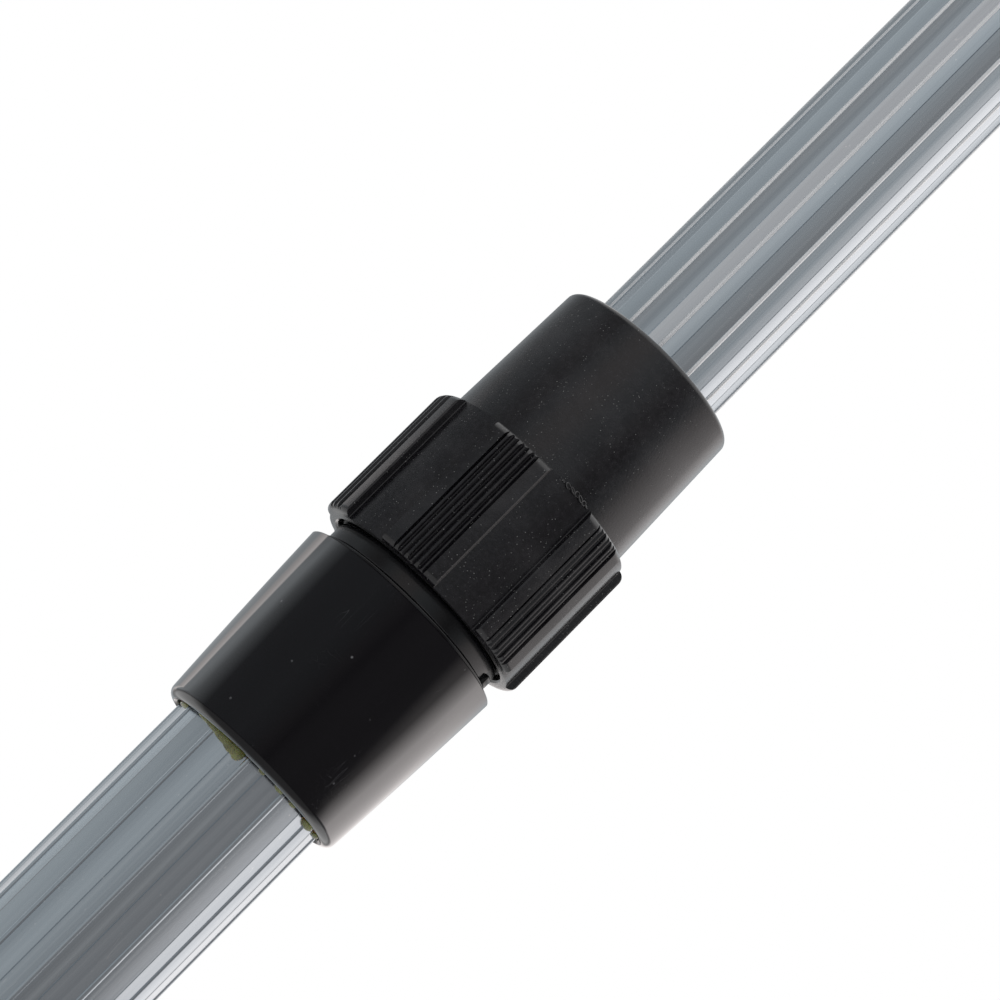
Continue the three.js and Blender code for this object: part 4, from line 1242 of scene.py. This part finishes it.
TIP_SKIRT = 22
TIP_REGISTER = 1.5
CONE_LENGTH = 45
CONE_INSET = 2.45
CONE_TAPER = 2.4
TIP_THREAD_STEP = 1.7
TIP_RIDGE = 1.25
TIP_LEAD = 5
TIP_TURNS = 3
TIP_ROUND = 0.6
TIP_SKIRT_ROUND = 1
CONE_FOOT_EDGE = 0.3
CONE_TOP_LIP = 0.02
CONE_TOP_RISE = 0.4
THREAD_TOP_CHAMFER = 0.8
BOLT_SHANK = 2.5
BOLT_HEAD = 4.2
BOLT_HEAD_RECESS = 6
BOLT_HEAD_HEIGHT = 4
BOLT_SOCKET = 4
BOLT_SOCKET_DEPTH = 2
NUT_ACROSS_FLATS = 8
NUT_CORNER_RADIUS = 4.7
NUT_FACE_RADIUS = 4.1
NUT_CHAMFER = 0.5
NUT_BORE_GAP = 0.1


def tip_socket():
    low, high = span("tip_socket")
    radius = reach("tip_socket")
    tube_top = top("inner_tube")
    shoulder = tube_top + GAP
    skirt = tube_top - TIP_SKIRT
    plug = inside_inner_tube()
    over_tube = reach("inner_tube") + GAP
    register = radius - CONE_INSET + GAP
    profile = [
        (BOLT_SHANK + GAP, low),
        (plug - MOULDED_EDGE, low),
        (plug, low + MOULDED_EDGE),
        (plug, shoulder),
        (over_tube, shoulder),
        (over_tube, skirt),
        *foot_round(radius, skirt, TIP_SKIRT_ROUND),
        *top_round(radius, high, TIP_ROUND, 4),
        (register, high),
        (register, high - TIP_REGISTER),
        (BOLT_SHANK + GAP, high - TIP_REGISTER),
    ]
    piece = turned(profile)
    return smooth(cut(piece, *head_pockets(radius, tube_top - TIP_SKIRT / 2)))


def tip_cone():
    low, high = span("tip_cone")
    radius = reach("tip_socket") - CONE_INSET
    cone_top = low + CONE_LENGTH
    top_radius = radius - CONE_TAPER
    root = top_radius - TIP_THREAD_STEP
    seat = high - BOLT_HEAD_RECESS
    core_profile = [
        (BOLT_SHANK + GAP, low),
        (radius - CONE_FOOT_EDGE, low),
        (radius, low + CONE_FOOT_EDGE),
        (top_radius + CONE_TOP_LIP, cone_top - TIP_ROUND),
        *top_round(top_radius, cone_top, TIP_ROUND, 4),
        (root, cone_top + CONE_TOP_RISE),
        (root, high - THREAD_TOP_CHAMFER),
        (root - THREAD_TOP_CHAMFER, high),
        (BOLT_HEAD + GAP, high),
        (BOLT_HEAD + GAP, seat),
        (BOLT_SHANK + GAP, seat),
    ]
    core = turned(core_profile)
    run = TIP_LEAD * TIP_TURNS
    start = cone_top + (high - cone_top - run) / 2
    ridge = thread_ridge(root, TIP_RIDGE, TIP_LEAD, TIP_TURNS, start)
    return smooth(joined(core, ridge), 35)


def tip_bolt():
    low, high = span("tip_bolt")
    seat = high - BOLT_HEAD_HEIGHT
    profile = [
        (0, low),
        (BOLT_SHANK - MOULDED_EDGE, low),
        (BOLT_SHANK, low + MOULDED_EDGE),
        (BOLT_SHANK, seat),
        (BOLT_HEAD, seat),
        *top_round(BOLT_HEAD, high, MOULDED_EDGE, 4),
        (0, high),
    ]
    piece = turned(profile, steps=64)
    return smooth(cut(piece, raised(hexagon(BOLT_SOCKET), high - BOLT_SOCKET_DEPTH, high + OVERSHOOT)))


def tip_nut():
    low, high = span("tip_nut")
    body = raised(hexagon(NUT_ACROSS_FLATS), low, high)
    envelope_profile = [
        (0, low),
        (NUT_FACE_RADIUS, low),
        (NUT_CORNER_RADIUS, low + NUT_CHAMFER),
        (NUT_CORNER_RADIUS, high - NUT_CHAMFER),
        (NUT_FACE_RADIUS, high),
        (0, high),
    ]
    envelope = turned(envelope_profile, steps=64)
    hole = rod(BOLT_SHANK + NUT_BORE_GAP, low - OVERSHOOT, high + OVERSHOOT)
    return smooth(cut(common(body, envelope), hole))


# ---- The pieces in their places ----

# Each function is named after the CAD node that its piece stands for.
MOULDINGS = {
    end_cap: "end_cap_moulding",
    handle_grip: "grip_sleeve",
    collar: "collar_moulding",
    collar_glue: "glue_runs",
    lock_body: "threaded_neck_moulding",
    neck_o_ring: "neck_seal_ring",
    lock_nut: "twist_nut_moulding",
    clamp_ring: "split_clamp_moulding",
    guide_bush: "guide_bush_moulding",
    foot_plug: "foot_plug_moulding",
    tip_socket: "tip_socket_moulding",
    tip_cone: "tip_cone_moulding",
    tip_bolt: "tip_socket_bolt",
    tip_nut: "tip_hex_nut",
}

stands_for(tube("outer_tube", OUTER_TURN), "outer_tube", "outer_tube_extrusion")
sliding_tube = stands_for(tube("inner_tube", INNER_TURN), "inner_tube", "inner_tube_extrusion")
# The sliding tube's bead crests get the painted highlight tone.
rub_beads(sliding_tube, "inner_tube")
for make, piece_name in MOULDINGS.items():
    stands_for(make(), make.__name__, piece_name)
for holder in ("end_cap", "tip_socket"):
    for side in ("left", "right"):
        screw_node = f"{holder}_screw_{side}"
        stands_for(cross_screw(screw_node), screw_node, f"{holder}_pan_screw_{side}")
for side in ("left", "right"):
    rivet_node = f"bush_rivet_{side}"
    stands_for(rivet(rivet_node), rivet_node, f"bush_round_rivet_{side}")

# ---- Floor, light and camera ----

FLOOR_HALF = 60.0
FLOOR_DROP = 0.2
AIM_HEIGHT = 657.9
AIM_SIDE = -2.08
CAMERA_DISTANCE = 610
CAMERA_DROP = 11.3
CAMERA_ROLL = 45
CAMERA_LENS = 138.3
SENSOR_WIDTH = 36
FLOOR_MOTTLE_PER_METRE = 3.0


def floor():
    place = (0, 0, cad_low.z - FLOOR_DROP * MM)
    plane = added(bpy.ops.mesh.primitive_plane_add, size=2 * FLOOR_HALF, location=place)
    plane.name = "floor"
    material, sheet, shader = new_material("pale_floor", Roughness=0.7, Specular_IOR_Level=0.2)
    mottle = sheet.noise(sheet.place(), FLOOR_MOTTLE_PER_METRE, detail=3)
    sheet.feed(sheet.mix(mottle, (0.80, 0.80, 0.81), (0.84, 0.84, 0.845)), shader["Base Color"])
    plane.data.materials.append(material)
    plane.visible_glossy = False


# The studio's brightness by bearing, in degrees from the front and positive to +X, for rays that
# climb at three slopes.
LEVEL_STUDIO = [
    (-180, 0.42), (-150, 0.38), (-136, 0.45), (-126, 0.7), (-117.5, 1.05), (-115.5, 0.46),
    (-104, 0.5), (-92, 0.33), (-60, 0.34), (-36, 0.36), (-22, 0.31), (-8, 0.24), (3, 0.15),
    (12, 0.2), (32, 0.22), (48, 0.2), (58, 0.22), (68, 0.9), (78, 1.05), (150, 0.98), (180, 0.5),
]  # fmt: skip
LOW_STUDIO = [
    (-180, 0.34), (-150, 0.3), (-138, 0.4), (-128, 0.75), (-118, 1.3), (-116.5, 0.1),
    (-100, 0.05), (-84, 0.06), (-66, 0.2), (-54, 0.3), (-22, 0.28), (-8, 0.3), (2, 0.2),
    (10, 0.13), (28, 0.19), (48, 0.2), (62, 0.15), (76, 0.18), (92, 0.85), (104, 0.95),
    (122, 0.6), (150, 0.45), (180, 0.35),
]  # fmt: skip
HIGH_STUDIO = [
    (-180, 0.3), (-150, 0.26), (-128, 0.32), (-108, 0.42), (-94, 0.34), (-72, 0.24),
    (-60, 0.2), (-47, 0.4), (-34, 0.52), (-18, 0.55), (0, 0.48), (18, 0.34), (30, 0.24),
    (40, 0.1), (50, 0.12), (62, 0.28), (74, 0.36), (86, 0.72), (110, 1.0), (150, 1.1),
    (180, 0.5),
]  # fmt: skip
DARK_TINT = (1.0, 0.98, 1.0)
DIM_TINT = (0.94, 1.0, 1.045)
BRIGHT_TINT = (1.03, 0.975, 0.965)
LOW_SLOPES = (6, 8.5)
HIGH_SLOPES = (10.5, 13.5)
# The bright edges aren't upright: how far a bearing moves for each degree of climb off the level
# one, at the left edge and at the right edge.
LEFT_EDGE_LEAN = 2.26
LEFT_EDGE_BEARINGS = (-116, -60)
RIGHT_EDGE_LEAN = -3.74
RIGHT_EDGE_BEARINGS = (40, 110)
LEAN_LEVEL = 10
LEAN_CLIMBS = (-5, 16)
BRIGHT_FROM = 0.5
DIM_FROM = 0.25
DARK_LIGHT = 0.12
DARK_SLOPES = (-12, -4)
DOWN_LIGHT = 0.55
DOWN_SLOPES = (-17, -9)
OVERHEAD_LIGHT = 1.2
OVERHEAD_SLOPES = (28, 46)


def bearing_ramp(sheet, share, table):
    """A brightness read round the whole turn."""
    ramp = sheet.node("ValToRGB")
    stops = ramp.color_ramp.elements
    stops.remove(stops[-1])
    for i, (degrees, bright) in enumerate(table):
        place = (degrees + 180) / 360
        stop = stops[0] if i == 0 else stops.new(place)
        stop.position = place
        dull_tint = DIM_TINT if bright > DIM_FROM else DARK_TINT
        tint = BRIGHT_TINT if bright > BRIGHT_FROM else dull_tint
        stop.color = (*(bright * part for part in tint), 1)
    sheet.feed(share, ramp.inputs["Fac"])
    return ramp.outputs["Color"]


def studio():
    """A soft studio: a dim front, a bright right side, and a bright strip on the left."""
    world = bpy.data.worlds.new("studio")
    bpy.context.scene.world = world
    world.use_nodes = True
    world.node_tree.nodes.clear()
    sheet = Sheet(world.node_tree)
    ray = sheet.node("SeparateXYZ")
    sheet.feed(sheet.node("TexCoord").outputs["Generated"], ray.inputs["Vector"])
    x, y, z = (ray.outputs[axis] for axis in "XYZ")
    turn = sheet.math("ARCTAN2", x, sheet.math("MULTIPLY", y, -1.0))
    bearing = sheet.math("MULTIPLY", turn, 180 / math.pi)
    climb = sheet.math("MULTIPLY", sheet.math("ARCSINE", z), 180 / math.pi)
    below = sheet.math("SUBTRACT", LEAN_LEVEL, sheet.window(climb, *LEAN_CLIMBS, *LEAN_CLIMBS))
    left = sheet.window(bearing, *LEFT_EDGE_BEARINGS, LEFT_EDGE_LEAN, 0)
    right = sheet.window(bearing, *RIGHT_EDGE_BEARINGS, 0, RIGHT_EDGE_LEAN)
    lean = sheet.math("MULTIPLY", sheet.math("ADD", left, right), below)
    share = sheet.window(sheet.math("ADD", bearing, lean), -180, 180)
    colour = bearing_ramp(sheet, share, LEVEL_STUDIO)
    for slopes, table in ((LOW_SLOPES, LOW_STUDIO), (HIGH_SLOPES, HIGH_STUDIO)):
        colour = sheet.mix(sheet.window(climb, *slopes), colour, bearing_ramp(sheet, share, table))
    for slopes, ends, light in (
        (DARK_SLOPES, (1, 0), DARK_LIGHT),
        (DOWN_SLOPES, (1, 0), DOWN_LIGHT),
        (OVERHEAD_SLOPES, (0, 1), OVERHEAD_LIGHT),
    ):
        colour = sheet.mix(sheet.window(climb, *slopes, *ends), colour, (light,) * 3)
    mirrored, backdrop, seen = (sheet.node(kind) for kind in ("Background", "Background", "MixShader"))
    sheet.feed(colour, mirrored.inputs["Color"])
    sheet.feed((1, 1, 1), backdrop.inputs["Color"])
    sheet.feed(sheet.node("LightPath").outputs["Is Camera Ray"], seen.inputs["Fac"])
    sheet.feed(mirrored.outputs["Background"], seen.inputs[1])
    sheet.feed(backdrop.outputs["Background"], seen.inputs[2])
    sheet.feed(seen.outputs["Shader"], sheet.node("OutputWorld").inputs["Surface"])


def camera():
    data = bpy.data.cameras.new("camera")
    data.lens = CAMERA_LENS
    data.sensor_width = SENSOR_WIDTH
    data.clip_start = 0.01
    data.clip_end = 100
    eye = bpy.data.objects.new("camera", data)
    bpy.context.scene.collection.objects.link(eye)
    drop, roll = math.radians(CAMERA_DROP), math.radians(CAMERA_ROLL)
    ahead = Vector((0, math.cos(drop), math.sin(drop)))
    level_up = Vector((0, -math.sin(drop), math.cos(drop)))
    level_right = Vector((1, 0, 0))
    up = level_up * math.cos(roll) - level_right * math.sin(roll)
    right = level_right * math.cos(roll) + level_up * math.sin(roll)
    aim = Vector((AIM_SIDE, 0, AIM_HEIGHT)) * MM
    eye.matrix_world = Matrix.Translation(aim - ahead * CAMERA_DISTANCE * MM) @ Matrix(
        (right, up, -ahead)
    ).transposed().to_4x4()
    bpy.context.scene.camera = eye


floor()
studio()
camera()
bpy.context.scene.view_settings.view_transform = "Standard"
